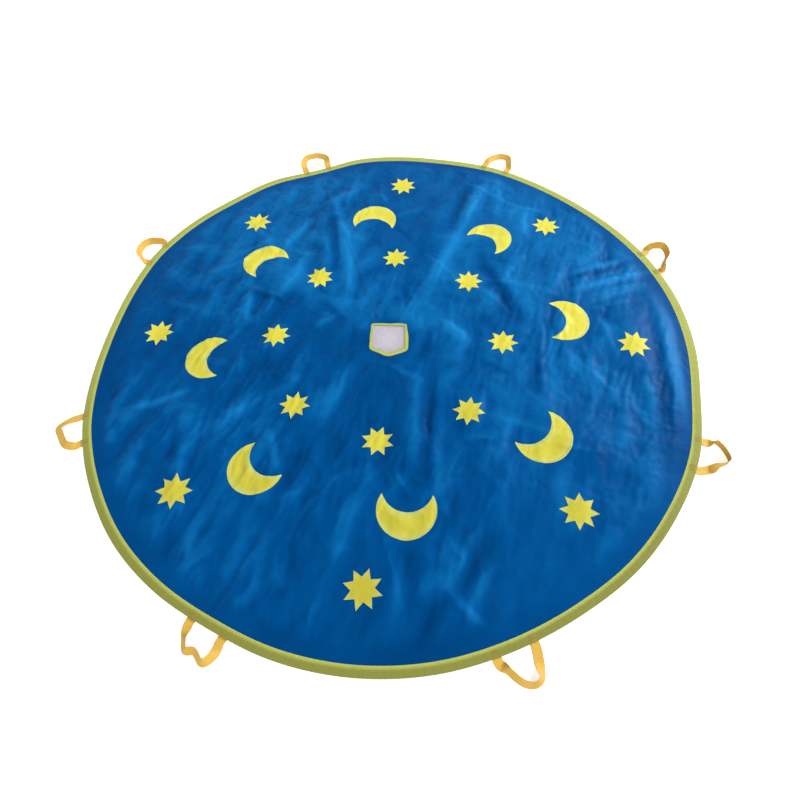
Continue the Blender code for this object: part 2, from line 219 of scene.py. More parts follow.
@dataclass
class Surface:
    """Mesh of one piece, gathered from whole grids."""

    corners: list = field(default_factory=list)
    faces: dict = field(default_factory=lambda: {4: [], 3: []})
    marks: dict = field(default_factory=dict)
    count: int = 0

    def add_corners(self, points: np.ndarray, **marks: np.ndarray | float) -> np.ndarray:
        """Add points.

        Args:
            points: Array whose last axis is x, y, z.
            **marks: Named values per point, or one for all, kept as attributes.

        Returns:
            Corner numbers in the grid's shape.
        """
        shape = points.shape[:-1]
        numbers = self.count + np.arange(math.prod(shape)).reshape(shape)
        self.corners.append(points.reshape(-1, 3))
        for name, value in marks.items():
            self.marks.setdefault(name, []).append(np.broadcast_to(value, shape).reshape(-1))
        self.count += numbers.size
        return numbers

    def add_faces(self, corners: np.ndarray, places: np.ndarray | float = 0.0) -> None:
        """Add faces of three or four corners.

        Args:
            corners: Corner numbers, one row per face.
            places: Pattern coordinates of each corner, or 0 for a piece without a pattern.
        """
        self.faces[corners.shape[1]].append((corners, np.broadcast_to(places, (*corners.shape, 2))))

    def add_cells(self, numbers: np.ndarray, places: np.ndarray, flip: bool = False) -> None:
        """Add the cells of a grid as four-cornered faces.

        Args:
            numbers: Corner numbers, rows by columns. A joined grid repeats its first row or column.
            places: Pattern coordinates for the same grid.
            flip: Whether the faces look the other way.
        """
        rows, columns = numbers.shape
        order = [(0, 0), (1, 0), (1, 1), (0, 1)][:: -1 if flip else 1]
        cells, spots = ([grid[r : rows - 1 + r, c : columns - 1 + c] for r, c in order] for grid in (numbers, places))
        self.add_faces(np.stack(cells, axis=-1).reshape(-1, 4), np.stack(spots, axis=-2).reshape(-1, 4, 2))

    def add_fan(self, pole: int, ring: np.ndarray, pole_place: np.ndarray, places: np.ndarray, flip: bool) -> None:
        """Add the triangles between a pole and a closed ring.

        Args:
            pole: Number of the pole's corner.
            ring: Corner numbers round the pole, the first one repeated at the end.
            pole_place: Pattern coordinates of the pole.
            places: Pattern coordinates of the ring.
            flip: Whether the faces look the other way.
        """
        here, there = (slice(None, -1), slice(1, None))[:: -1 if flip else 1]
        middle = np.broadcast_to(pole_place, places[here].shape)
        triangles = np.stack([np.full_like(ring[here], pole), ring[here], ring[there]], axis=-1)
        self.add_faces(triangles, np.stack([middle, places[here], places[there]], axis=1))

    def finish(self, name: str, dressing: Dressing, crisp: float = 50.0) -> bpy.types.Object:
        """Make the object, with faces outwards, smooth shading, pattern coordinates and attributes.

        The faces look outwards when the sum of a . (b x c) over their triangles, six times the volume, is
        above 0.

        Args:
            name: Name of the piece.
            dressing: Its finish.
            crisp: Angle in degrees above which an edge stays sharp.

        Returns:
            The new object, at the origin.
        """
        points = np.concatenate(self.corners)
        groups = [tuple(map(np.concatenate, zip(*rows))) for rows in self.faces.values() if rows]
        split = [corners[:, [0, k, k + 1]] for corners, _ in groups for k in range(1, corners.shape[1] - 1)]
        a, b, c = (points[numbers] for numbers in np.concatenate(split).T)
        order = -1 if np.einsum("ij,ij->", a, np.cross(b, c)) < 0.0 else 1
        loops = np.concatenate([corners[:, ::order].reshape(-1) for corners, _ in groups])
        places = np.concatenate([spots[:, ::order].reshape(-1) for _, spots in groups])
        sizes = np.concatenate([np.full(len(corners), corners.shape[1]) for corners, _ in groups])
        mesh = bpy.data.meshes.new(name)
        mesh.vertices.add(len(points))
        mesh.vertices.foreach_set("co", points.reshape(-1).astype(np.float32))
        mesh.loops.add(len(loops))
        mesh.loops.foreach_set("vertex_index", loops.astype(np.int32))
        mesh.polygons.add(len(sizes))
        mesh.polygons.foreach_set("loop_start", (np.cumsum(sizes) - sizes).astype(np.int32))
        mesh.uv_layers.new(name="UVMap").data.foreach_set("uv", places.astype(np.float32))
        for mark, values in self.marks.items():
            layer = mesh.attributes.new(mark, "FLOAT", "POINT")
            layer.data.foreach_set("value", np.concatenate(values).astype(np.float32))
        mesh.update(calc_edges=True)
        mesh.shade_smooth()
        mesh.set_sharp_from_angle(angle=math.radians(crisp))
        mesh.materials.append(dressing.material)
        piece = show(name, mesh)
        log.info("%s: %d faces", name, len(sizes))
        return piece

    def finish_on_canopy(self, name: str, dressing: Dressing, *nodes: str) -> bpy.types.Object:
        """Finish a piece that rides on the canopy.

        Args:
            name: Name of the piece.
            dressing: Its finish.
            *nodes: The solids that it stands for.

        Returns:
            The new object.
        """
        piece = self.finish(name, dressing)
        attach(piece, Body.CANOPY.value)
        if nodes:
            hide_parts(*nodes)
        return piece


@dataclass(frozen=True)
class Layout:
    """Sizes that the canopy's pieces share, as the solids have them."""

    gores: int = 8
    first_gore: float = math.radians(-90.0)
    rim_radius: float = 1.0
    gore_radius: float = 0.9969
    vent_half_width: float = 0.053
    vent_corner_power: float = 18.0
    vent_sides: tuple[Pair, ...] = ((3.0, 1.08), (90.0, 1.17), (184.5, 1.00), (-111.0, 0.97), (-67.0, 1.05))
    seam_lap: float = 0.010
    seam_step: float = 0.012
    lap_lift: float = 0.0005
    cloth_bottom: float = 0.0026
    cloth_thickness: float = 0.0004
    handle_span: float = 0.097
    handle_standoff: float = 0.0045
    hinge_height: float = 0.00155
    clear: float = 0.0001

    @property
    def pitch(self) -> float:
        """Angle between two gores."""
        return TURN / self.gores

    @property
    def cloth_top(self) -> float:
        """Height of the cloth's upper face where it lies flat."""
        return self.cloth_bottom + self.cloth_thickness

    def centre_line(self, index: int) -> float:
        """Angle of a gore's centre line, counted from 0."""
        return self.first_gore + index * self.pitch

    def seam(self, index: int) -> float:
        """Angle of the seam after a gore, where a handle sits too."""
        return self.first_gore + (index + 0.5) * self.pitch

    def seam_distance(self, x: np.ndarray, y: np.ndarray) -> np.ndarray:
        """Distance from points to the nearest seam line, with a sign: the radius times the sine between."""
        turned = (np.arctan2(y, x) - self.seam(0)) / self.pitch
        return np.hypot(x, y) * np.sin((turned - np.round(turned)) * self.pitch)

    def lap(self, angle: np.ndarray, radius: np.ndarray | float, end: float) -> np.ndarray:
        """Height that a seam's lap adds: 1 lap within 7 mm of the seam, falling to 0 at the end distance."""
        across = np.abs(self.seam_distance(radius * np.cos(angle), radius * np.sin(angle)))
        return self.lap_lift * (1.0 - smooth_step(across, 0.007, end))

    def vent_radius(self, angle: np.ndarray, half_width: float) -> np.ndarray:
        """Distance from the middle to the vent's edge, a square whose near side droops to a blunt point.

        Each side is a line at a share of the half width from the middle, and the distance to it grows
        with one over the cosine. The edge is the half width over the power sum of those cosines.

        Args:
            angle: Angles round the middle.
            half_width: Half the vent's width.

        Returns:
            Distances in metres.
        """
        sides = [np.maximum(np.cos(angle - math.radians(facing)) / share, 0.0) for facing, share in self.vent_sides]
        total = sum(side**self.vent_corner_power for side in sides)
        return half_width / total ** (1.0 / self.vent_corner_power)

    def plan(self, distance: np.ndarray, angle: np.ndarray) -> tuple[np.ndarray, np.ndarray]:
        """Place canopy points in plan: rows are round at the rim and take the vent's outline towards it.

        Args:
            distance: Distance from the middle along the middle of a side of the vent.
            angle: Angle round the middle.

        Returns:
            x and y.
        """
        remaining = (self.gore_radius - distance) / (self.gore_radius - self.vent_half_width)
        radius = distance + (self.vent_radius(angle, self.vent_half_width) - self.vent_half_width) * remaining
        return radius * np.cos(angle), radius * np.sin(angle)


def beside(angle: float, out: np.ndarray, left: np.ndarray | float) -> np.ndarray:
    """Return x and y of points so far out along an angle and so far to the left of it."""
    x, y = out * math.cos(angle) - left * math.sin(angle), out * math.sin(angle) + left * math.cos(angle)
    return np.stack([x, y], axis=-1)


def unit(vectors: np.ndarray) -> np.ndarray:
    """Return vectors at length 1."""
    return vectors / np.linalg.norm(vectors, axis=-1, keepdims=True)


@dataclass(frozen=True)
class Fold:
    """A ridge along a bowed line, from one point to another, that fades to nothing at its ends."""

    start: Pair
    end: Pair
    width: float
    height: float
    bow: float = 0.0
    peaked: bool = True

    def lift(self, x: np.ndarray, y: np.ndarray) -> np.ndarray:
        """Height of the ridge at points.

        Along the line it is (1 - (2s - 1)^2)^1.5 of its height, where s runs from 0 to 1. Across it, a
        rounded fold is the exponential of minus the squared distance in widths, and a peaked crease the
        exponential of minus the distance in widths, rounded at the crest.

        Args:
            x: First coordinates.
            y: Second coordinates.

        Returns:
            Heights in metres.
        """
        run_x, run_y = self.end[0] - self.start[0], self.end[1] - self.start[1]
        run = math.hypot(run_x, run_y)
        from_x, from_y = x - self.start[0], y - self.start[1]
        along = np.clip((from_x * run_x + from_y * run_y) / run**2, 0.0, 1.0)
        middle = 1.0 - (2.0 * along - 1.0) ** 2
        across = ((from_x * run_y - from_y * run_x) / run - self.bow * middle) / self.width
        if self.peaked:
            crest = np.exp(-1.6 * (np.sqrt(across**2 + 0.36) - 0.6))
        else:
            crest = np.exp(-(across**2))
        return self.height * crest * middle**1.5


def folds(peaked: bool, *rows: tuple[float, ...]) -> tuple[Fold, ...]:
    """Read folds from rows of thousandths.

    Args:
        peaked: Whether they are peaked creases.
        *rows: Start x and y, end x and y, width, height and, where the line is bowed, its bow.

    Returns:
        The folds.
    """
    thousandths = [[value / 1000.0 for value in row] for row in rows]
    return tuple(Fold((a, b), (c, d), *shape, *[0.0] * (3 - len(shape)), peaked) for a, b, c, d, *shape in thousandths)


MAIN_FOLDS = folds(
    False,
    (-220, 130, -350, 810, 60, 11.2), (-130, 130, -180, 670, 60, 7), (220, 130, 810, 380, 70, 12.6),
    (310, 270, 490, 670, 65, 8.4), (800, 240, 820, -240, 65, 11.2), (100, -130, 130, -600, 60, 9.8),
    (270, -130, 360, -670, 70, 10.5), (-180, -220, -380, -670, 80, 11.9), (-180, -40, -720, -220, 70, 8.4),
    (-180, 130, -670, 380, 70, 9.8), (-70, -310, -110, -830, 70, 8.4), (340, -130, 740, -490, 70, 10.5),
    (90, 180, 180, 800, 65, 7.7), (-780, -280, -540, -680, 65, 7),
)

CREASES = folds(
    True,
    (-285, 720, -145, 120, 16, 4, -20), (-330, 620, -450, 400, 16, 2.8), (-330, 420, -400, 170, 16, 2.8),
    (-560, 225, -330, 140, 13, 2.6), (350, 870, 100, 130, 16, 3), (290, 450, 460, 40, 22, -2.2, 10),
    (180, 100, 270, -20, 14, 3.6), (510, 50, 500, -240, 15, 3.4, 8), (600, 225, 940, 355, 11, 3),
    (620, 185, 920, 300, 11, 2.8), (580, 285, 880, 410, 12, 2.4), (640, 145, 880, 215, 11, 2),
    (700, 130, 760, -80, 13, 2.6, 12), (590, -30, 730, -220, 13, 2.6), (640, 30, 660, -140, 11, 1.8),
    (105, -70, 100, -520, 20, 4), (155, -120, 145, -520, 13, -3), (-110, -70, -190, -400, 20, 2.2),
    (-515, 250, -500, 10, 13, 2.2), (170, -840, 340, -580, 14, 2.4), (430, -660, 510, -280, 14, 2.4),
    (-50, -480, -130, -900, 15, 2.4), (-320, -340, -470, -780, 14, 2.4), (20, -600, 110, -880, 13, 2),
    (-860, -330, -560, -210, 13, 2.2), (340, 760, 210, 560, 14, 2.6), (480, 700, 480, 480, 13, 2.2),
    (400, 820, 360, 580, 13, 2), (-200, 910, -215, 640, 13, 2.6), (-600, 600, -420, 330, 14, 2.4),
    (-860, 160, -600, 80, 14, 2.2), (240, 300, 600, 200, 13, 2.2), (260, -260, 620, -360, 15, 2.4),
    (-240, -140, -580, -400, 15, 2.6),
) + folds(False, (885, 330, 865, -380, 22, 3.6, -32))

# Painted highlight and shade: pale and dark streaks along the big folds, put into the nylon's colour.
PAINTED_LIGHT_STREAKS = folds(
    False,
    (-265, 660, -145, 120, 24, 500, -20), (-305, 740, -205, 220, 20, -620, -15), (295, 430, 455, 50, 26, -400, 8),
    (350, 400, 520, 80, 26, 320, 8), (155, -120, 145, -530, 18, -550), (110, -80, 103, -500, 20, 140),
    (-120, -70, -205, -420, 26, 180), (905, 300, 885, -400, 16, 420, -34), (850, 120, 830, -450, 26, -600, -30),
    (220, 520, 100, 130, 26, 360), (330, 840, 260, 600, 22, 340), (290, 860, 190, 500, 18, -400),
    (580, 215, 950, 350, 12, 500), (640, 170, 920, 285, 12, 360), (580, 265, 900, 390, 14, -420),
    (600, 300, 900, 420, 12, 280), (180, 100, 260, -10, 17, 650), (150, 20, 120, -100, 22, -550),
    (550, 90, 535, -240, 18, 500, 8), (495, 60, 480, -220, 22, -420), (630, 0, 590, -140, 14, 420),
    (720, -30, 640, -200, 13, 400), (700, 140, 760, 40, 13, 400, 12), (-540, 210, -330, 140, 13, -450),
    (-520, 270, -500, 20, 15, 320), (-330, 640, -450, 400, 22, 380), (-325, 430, -400, 170, 19, 360),
    (-260, 170, -120, 50, 16, -400), (480, 710, 480, 480, 15, 340), (540, 660, 560, 500, 15, -280),
    (440, -640, 520, -320, 20, -340), (490, -660, 570, -360, 18, 280), (160, -840, 330, -580, 18, 300),
    (200, -860, 370, -620, 16, -280), (-860, -325, -560, -215, 13, 300), (-460, -500, -500, -800, 22, 300),
    (-200, -400, -300, -660, 20, -300), (-20, -460, -80, -740, 20, 260), (180, -400, 185, -560, 15, 360),
    (235, -520, 230, -660, 18, -360), (310, -600, 250, -820, 18, -400), (340, -660, 250, -900, 18, 340),
    (95, -700, 80, -930, 22, 300), (215, -780, 140, -940, 22, -340), (-210, -650, -180, -810, 16, -380),
    (-270, -690, -295, -880, 18, 320), (630, -340, 655, -520, 15, -340), (700, -400, 660, -600, 18, 260),
    (-640, -290, -595, -500, 18, -340), (-520, -260, -560, -500, 30, 300), (-540, -620, -545, -780, 18, -340),
    (-140, -280, -160, -440, 18, -340), (-340, -340, -260, -520, 12, 320), (755, -140, 810, -340, 14, 360),
    (-720, 420, -800, 200, 22, -240), (-620, 20, -660, -200, 20, 240), (-300, -20, -360, -180, 22, -240),
)


@dataclass(frozen=True)
class Patch:
    """A soft oval patch of cloth: its middle, its half widths and its strength."""

    middle: Pair
    half: Pair
    strength: float

    def at(self, x: np.ndarray, y: np.ndarray) -> np.ndarray:
        """Return its strength at points, times the exponential of minus the squared distance in half widths."""
        away_x, away_y = ((v - m) / h for v, m, h in zip((x, y), self.middle, self.half))
        return self.strength * np.exp(-(away_x**2) - away_y**2)


@dataclass
class LaidCloth:
    """Loosely laid cloth: how high it lies above flat, and how its rim leaves a true circle, in millimetres."""

    layout: Layout
    seed: int = 11
    scattered: int = 90
    fanned: int = 5
    fan_angle: float = 0.055
    fan_spread: Pair = (2.0, 4.5)
    fan_start: float = 0.965
    fan_end: float = 0.955
    fan_reach: Pair = (0.10, 0.26)
    fan_share: float = 0.55
    scatter_start: float = 0.22
    scatter_room: float = 0.68
    scatter_power: float = 0.7
    scatter_reach: Pair = (0.05, 0.16)
    scatter_turn: float = 0.16
    small_width: Pair = (0.009, 0.020)
    small_height: Pair = (0.0012, 0.0031)
    small_bow: float = 0.010
    raised_share: float = 0.75
    dent: float = -0.7
    loose_mean: float = 0.75
    loose_swing: float = 0.8
    loose_cells: float = 3.1
    loose_left: float = 0.22
    loose_limits: Pair = (0.15, 1.4)
    loose_patch: Patch = Patch((0.62, 0.02), (0.26, 0.30), 0.20)
    taut_patch: Patch = Patch((0.03, 0.58), (0.19, 0.32), 0.65)
    long_cells: Pair = (5.5, 19.0)
    short_cells: Pair = (11.0, 36.0)
    coarse_cells: Pair = (14.0, 30.0)
    fine_cells: float = 47.0
    wander: float = 0.012
    fold_inner: Pair = (0.085, 0.20)
    fold_outer: Pair = (0.80, 0.94)
    crease_inner: Pair = (0.065, 0.12)
    crease_outer: Pair = (0.900, 0.962)
    seam_inner: Pair = (0.07, 0.13)
    seam_outer: Pair = (0.91, 0.962)
    seam_widths: Pair = (0.011, 0.017)
    wave_beside: Pair = (0.075, 0.17)
    wave_outer: Pair = (0.80, 0.97)
    crumple: float = 0.0026
    fine_crumple: float = 0.0012
    crease_scale: float = 1.7
    crease_limit: float = 0.010
    rim_wave: float = 0.0022
    seam_pucker: float = 0.0003
    pucker_length: float = 0.027
    seam_ridge: float = 0.0003
    rim_shifts: tuple[float, ...] = (
        (-1, -2, -8, -10, -4, -4, -4, -17, -10, -4, -4, -13, -19, -17, -8, -14)
        + (-9, -5, -25, -5, -8, 2, 6, -14, -26, -20, -6, -3, 1, -3, -10, -4)
    )
    grain: float = math.radians(73.0)
    long_folds: float = 0.0066
    short_folds: float = 0.0040
    highest: float = 0.026
    level_share: float = 0.75
    floor_gap: float = 0.0017
    floor_softness: float = 0.0006
    # Painted sheen and shade of the folds: a level, a rise per metre of crease height, and the streaks' scale.
    painted_fold_light_level: float = -0.10
    painted_fold_light_rise: float = 42.0
    painted_streak_scale: float = 0.62

    def __post_init__(self) -> None:
        """Add a fan of small creases at each handle and scattered ones between."""
        dice = np.random.default_rng(self.seed)
        more = []
        for index in range(self.layout.gores):
            seam = self.layout.seam(index)
            for _ in range(self.fanned):
                angle = seam + dice.uniform(-self.fan_angle, self.fan_angle)
                inner = seam + (angle - seam) * dice.uniform(*self.fan_spread)
                start, end = self.fan_start, self.fan_end - dice.uniform(*self.fan_reach)
                more.append(self.radial(start, angle, end, inner, dice, self.fan_share))
        for _ in range(self.scattered):
            radius = self.scatter_start + self.scatter_room * dice.random() ** self.scatter_power
            angle, reach = dice.uniform(0.0, TURN), dice.uniform(*self.scatter_reach)
            end_angle = angle + dice.normal() * self.scatter_turn / radius
            more.append(self.radial(radius, angle, radius - reach, end_angle, dice))
        self.creases = (*CREASES, *more)

    def radial(
        self, start: float, angle: float, end: float, end_angle: float, dice: np.random.Generator, share: float = 1.0
    ) -> Fold:
        """Make one small crease between two places.

        Args:
            start: Radius of its start.
            angle: Angle of its start.
            end: Radius of its end.
            end_angle: Angle of its end.
            dice: Random numbers, drawn for its width, height, sign and bow.
            share: Share of the usual height.

        Returns:
            The crease.
        """
        return Fold(
            (start * math.cos(angle), start * math.sin(angle)),
            (end * math.cos(end_angle), end * math.sin(end_angle)),
            dice.uniform(*self.small_width),
            share * dice.uniform(*self.small_height) * (1.0 if dice.random() < self.raised_share else self.dent),
            dice.normal() * self.small_bow,
        )

    def looseness(self, x: np.ndarray, y: np.ndarray) -> np.ndarray:
        """Share of the crumpling at each point: patchy, more on the left and right, less behind the vent."""
        patchy = lattice_noise(x * self.loose_cells + 5.0, y * self.loose_cells, 5.0)
        loose = self.loose_mean + self.loose_swing * patchy + self.loose_patch.at(x, y)
        loose += self.loose_left * smooth_step(-x, -0.1, 0.3)
        return np.clip(loose * (1.0 - self.taut_patch.at(x, y)), *self.loose_limits)

    def rough(self, x: np.ndarray, y: np.ndarray) -> np.ndarray:
        """Crumpling: noise less its own size, so that its crests are narrow, at two scales and along the grain.

        Args:
            x: First coordinates.
            y: Second coordinates.

        Returns:
            Heights in metres, above and below 0.
        """
        along = x * math.cos(self.grain) + y * math.sin(self.grain)
        across = y * math.cos(self.grain) - x * math.sin(self.grain)
        bent = across + 0.020 * lattice_noise(along * 4.0, across * 4.0, 16.0)
        streaky = self.long_folds * lattice_noise(along * self.long_cells[0], bent * self.long_cells[1], 17.0)
        narrow = lattice_noise(along * self.short_cells[0], bent * self.short_cells[1], 18.0)
        streaky += self.short_folds * (0.35 - 1.5 * np.sqrt(narrow**2 + 0.015))
        cells = zip((*self.coarse_cells, self.fine_cells), (6.0, 7.0, 8.0))
        first, second, fine = (lattice_noise(x * count, y * count, seed) for count, seed in cells)
        coarse = first + 0.5 * second
        for size, noise in ((self.crumple, coarse), (self.fine_crumple, fine)):
            streaky += size * (0.9 - 1.6 * np.sqrt(noise**2 + 0.012))
        return streaky

    def rest(self, above: np.ndarray) -> np.ndarray:
        """Keep heights between the floor and the highest fold.

        Near the floor, half the sum of the height and its softened size takes its place. Past a share of
        the highest fold, the hyperbolic tangent flattens what is over.

        Args:
            above: Heights above the cloth where it lies flat.

        Returns:
            The heights, bounded.
        """
        above = above + self.floor_gap
        bounded = 0.5 * (above + np.hypot(above, self.floor_softness)) - self.floor_gap
        bounded -= 0.5 * (math.hypot(self.floor_gap, self.floor_softness) - self.floor_gap)
        level = self.highest * self.level_share
        room = self.highest - level
        return np.where(bounded > level, level + room * np.tanh((bounded - level) / room), bounded)

    def lifts(self, x: np.ndarray, y: np.ndarray) -> tuple[np.ndarray, np.ndarray]:
        """Return how high the cloth lies above flat, and its painted sheen and shade there.

        The main folds take the highest of their ridges. Creases, crumpling, the seams' pull and the rim's
        wave are added to them. The painted sheen and shade is paler on crests, darker in hollows, and has
        painted pale and dark streaks along big folds.

        Args:
            x: First coordinates.
            y: Second coordinates.

        Returns:
            Heights in metres, and the painted sheen and shade.
        """
        radius, angle = np.hypot(x, y), np.arctan2(y, x)
        main = np.maximum.reduce([np.zeros_like(x), *(fold.lift(x, y) for fold in MAIN_FOLDS)])
        main *= smooth_step(radius, *self.fold_inner) * (1.0 - smooth_step(radius, *self.fold_outer))
        wander_x, wander_y = (v + self.wander * lattice_noise(x * 9.0, y * 9.0, s) for v, s in ((x, 3.0), (y, 4.0)))
        crease = self.crease_scale * sum(fold.lift(wander_x, wander_y) for fold in self.creases)
        crease = self.crease_limit * np.tanh(crease / self.crease_limit)
        inside = smooth_step(radius, *self.crease_inner) * (1.0 - smooth_step(radius, *self.crease_outer))
        crease = (crease + self.rough(wander_x, wander_y) * self.looseness(x, y) + 0.0012) * inside
        across = self.layout.seam_distance(x, y)
        beat = np.sin(radius * TURN / self.pucker_length + 9.0 * lattice_noise(radius * 9.0, angle * 1.3, 9.0))
        ridge, pucker = (np.exp(-((across / width) ** 2)) for width in self.seam_widths)
        seam = self.seam_ridge * ridge + self.seam_pucker * beat * pucker
        seam *= smooth_step(radius, *self.seam_inner) * (1.0 - smooth_step(radius, *self.seam_outer))
        away = smooth_step(np.abs(across), *self.wave_beside)
        wave = 0.5 + 0.7 * lattice_noise(angle * 5.0, 0.0 * angle + 0.5, 10.0)
        wave = self.rim_wave * away * np.clip(wave, 0.0, 1.0) * smooth_step(radius, *self.wave_outer)
        # Painted highlight on crests, painted shade in hollows and along the dark streaks.
        painted_fold_light = self.painted_fold_light_level + self.painted_fold_light_rise * (crease + seam)
        painted_fold_light += self.painted_streak_scale * sum(streak.lift(wander_x, wander_y) for streak in PAINTED_LIGHT_STREAKS)
        return self.rest(main + crease + seam + wave), painted_fold_light

    def rim_shift(self, angle: np.ndarray) -> np.ndarray:
        """Return how far outwards the rim lies at each angle, in metres.

        It is a cubic through evenly spaced values, whose slope at each value is half the step between its
        neighbours.
        """
        count = len(self.rim_shifts)
        turned = (angle - self.layout.first_gore) * count / TURN
        here = np.floor(turned).astype(int)
        t = turned - here
        v0, v1, v2, v3 = (np.array(self.rim_shifts)[(here + step) % count] / 1000.0 for step in (-1, 0, 1, 2))
        return v1 + 0.5 * t * (v2 - v0 + t * (2 * v0 - 5 * v1 + 4 * v2 - v3 + t * (3 * (v1 - v2) + v3 - v0)))

    def spread(self, flat: np.ndarray, layer: np.ndarray | float) -> tuple[np.ndarray, np.ndarray]:
        """Put flat points at a layer's height on to the laid cloth.

        The height is the layer plus the lift. In plan, the radius is changed by the rim's shift times its
        fourth power.

        Args:
            flat: Points on the flat canopy, whose last axis is x and y.
            layer: Height of the points above the floor where the cloth lies flat.

        Returns:
            Array of x, y, z, and the painted sheen and shade.
        """
        x, y = flat[..., 0], flat[..., 1]
        lift, painted_fold_light = self.lifts(x, y)
        scale = 1.0 + self.rim_shift(np.arctan2(y, x)) * np.hypot(x, y) ** 4
        return np.stack([x * scale, y * scale, layer + lift], axis=-1), painted_fold_light

    def place(self, flat: np.ndarray, layer: np.ndarray | float) -> np.ndarray:
        """Put flat points at a layer's height on to the laid cloth, as spread does."""
        return self.spread(flat, layer)[0]


def closed_sheet(surface: Surface, top: np.ndarray, places: np.ndarray, thickness: float, **marks: np.ndarray) -> None:
    """Add a closed sheet: a grid, the same grid straight below it, and a wall round the border.

    Args:
        surface: Mesh to add to.
        top: Grid of points, rows outwards and columns anticlockwise seen from above.
        places: Pattern coordinates of the grid.
        thickness: Thickness in metres.
        **marks: Attributes of the grid.
    """
    above, below = (surface.add_corners(top + drop * DOWN, **marks) for drop in (0.0, thickness))
    surface.add_cells(above, places)
    surface.add_cells(below, places, flip=True)

    def border(grid: np.ndarray) -> np.ndarray:
        """Return the values round the border, anticlockwise, the first one repeated."""
        return np.concatenate([grid[:, 0], grid[-1, 1:], grid[-2::-1, -1], grid[0, -2::-1]])

    surface.add_cells(np.stack([border(above), border(below)]), np.stack([border(places)] * 2))


def closed_disc(surface: Surface, top: np.ndarray, places: np.ndarray, thickness: float, **marks: np.ndarray) -> None:
    """Add a closed round sheet: rings round a pole, the same below, and a wall round the outer ring.

    Args:
        surface: Mesh to add to.
        top: Rings by directions. The first ring is the pole, the same point in every direction.
        places: Pattern coordinates of the rings.
        thickness: Thickness in metres.
        **marks: Attributes of the rings.
    """
    joined = np.concatenate([places, places[:, :1]], axis=1)
    outer = []
    for drop, flip in ((0.0, False), (thickness, True)):
        pole = surface.add_corners(top[0, :1] + drop * DOWN, **{k: v[0, :1] for k, v in marks.items()})
        rings = surface.add_corners(top[1:] + drop * DOWN, **{k: v[1:] for k, v in marks.items()})
        rings = np.concatenate([rings, rings[:, :1]], axis=1)
        surface.add_cells(rings, joined[1:], flip=flip)
        surface.add_fan(int(pole[0]), rings[0], places[0, 0], joined[1], flip)
        outer.append(rings[-1])
    surface.add_cells(np.stack(outer), np.stack([joined[-1]] * 2))


def closed_tube(surface: Surface, sections: np.ndarray, places: np.ndarray, ring: bool, **marks: np.ndarray) -> None:
    """Add a tube of closed sections, either joined end to end or capped at both ends.

    Args:
        surface: Mesh to add to.
        sections: Stations by profile points by x, y, z. A profile's last point isn't its first.
        places: Pattern coordinates, with one more profile point, and one more station in a ring.
        ring: Whether the last station joins the first.
        **marks: Attributes of the sections.
    """
    numbers = surface.add_corners(sections, **marks)
    numbers = np.concatenate([numbers, numbers[:, :1]], axis=1)
    if ring:
        numbers = np.concatenate([numbers, numbers[:1]], axis=0)
    surface.add_cells(numbers, places)
    for station, flip in () if ring else ((0, True), (-1, False)):
        ends = {k: v[station, :1] for k, v in marks.items()}
        middle = surface.add_corners(sections[station].mean(axis=0)[None, :], **ends)
        spots = places[station]
        surface.add_fan(int(middle[0]), numbers[station], spots.mean(axis=0), spots, flip)


def measured(line: np.ndarray, closed: bool = True) -> tuple[np.ndarray, np.ndarray]:
    """Return a line in plan, joined to its start where it is closed, and the length gone at each point."""
    line = np.concatenate([line, line[:1]]) if closed else line
    return line, np.concatenate([[0.0], np.cumsum(np.hypot(*np.diff(line, axis=0).T))])


def walked(line: np.ndarray, gone: np.ndarray, lengths: np.ndarray) -> np.ndarray:
    """Return the points of a measured line where it has gone so far."""
    return np.stack([np.interp(lengths, gone, line[:, axis]) for axis in (0, 1)], axis=-1)


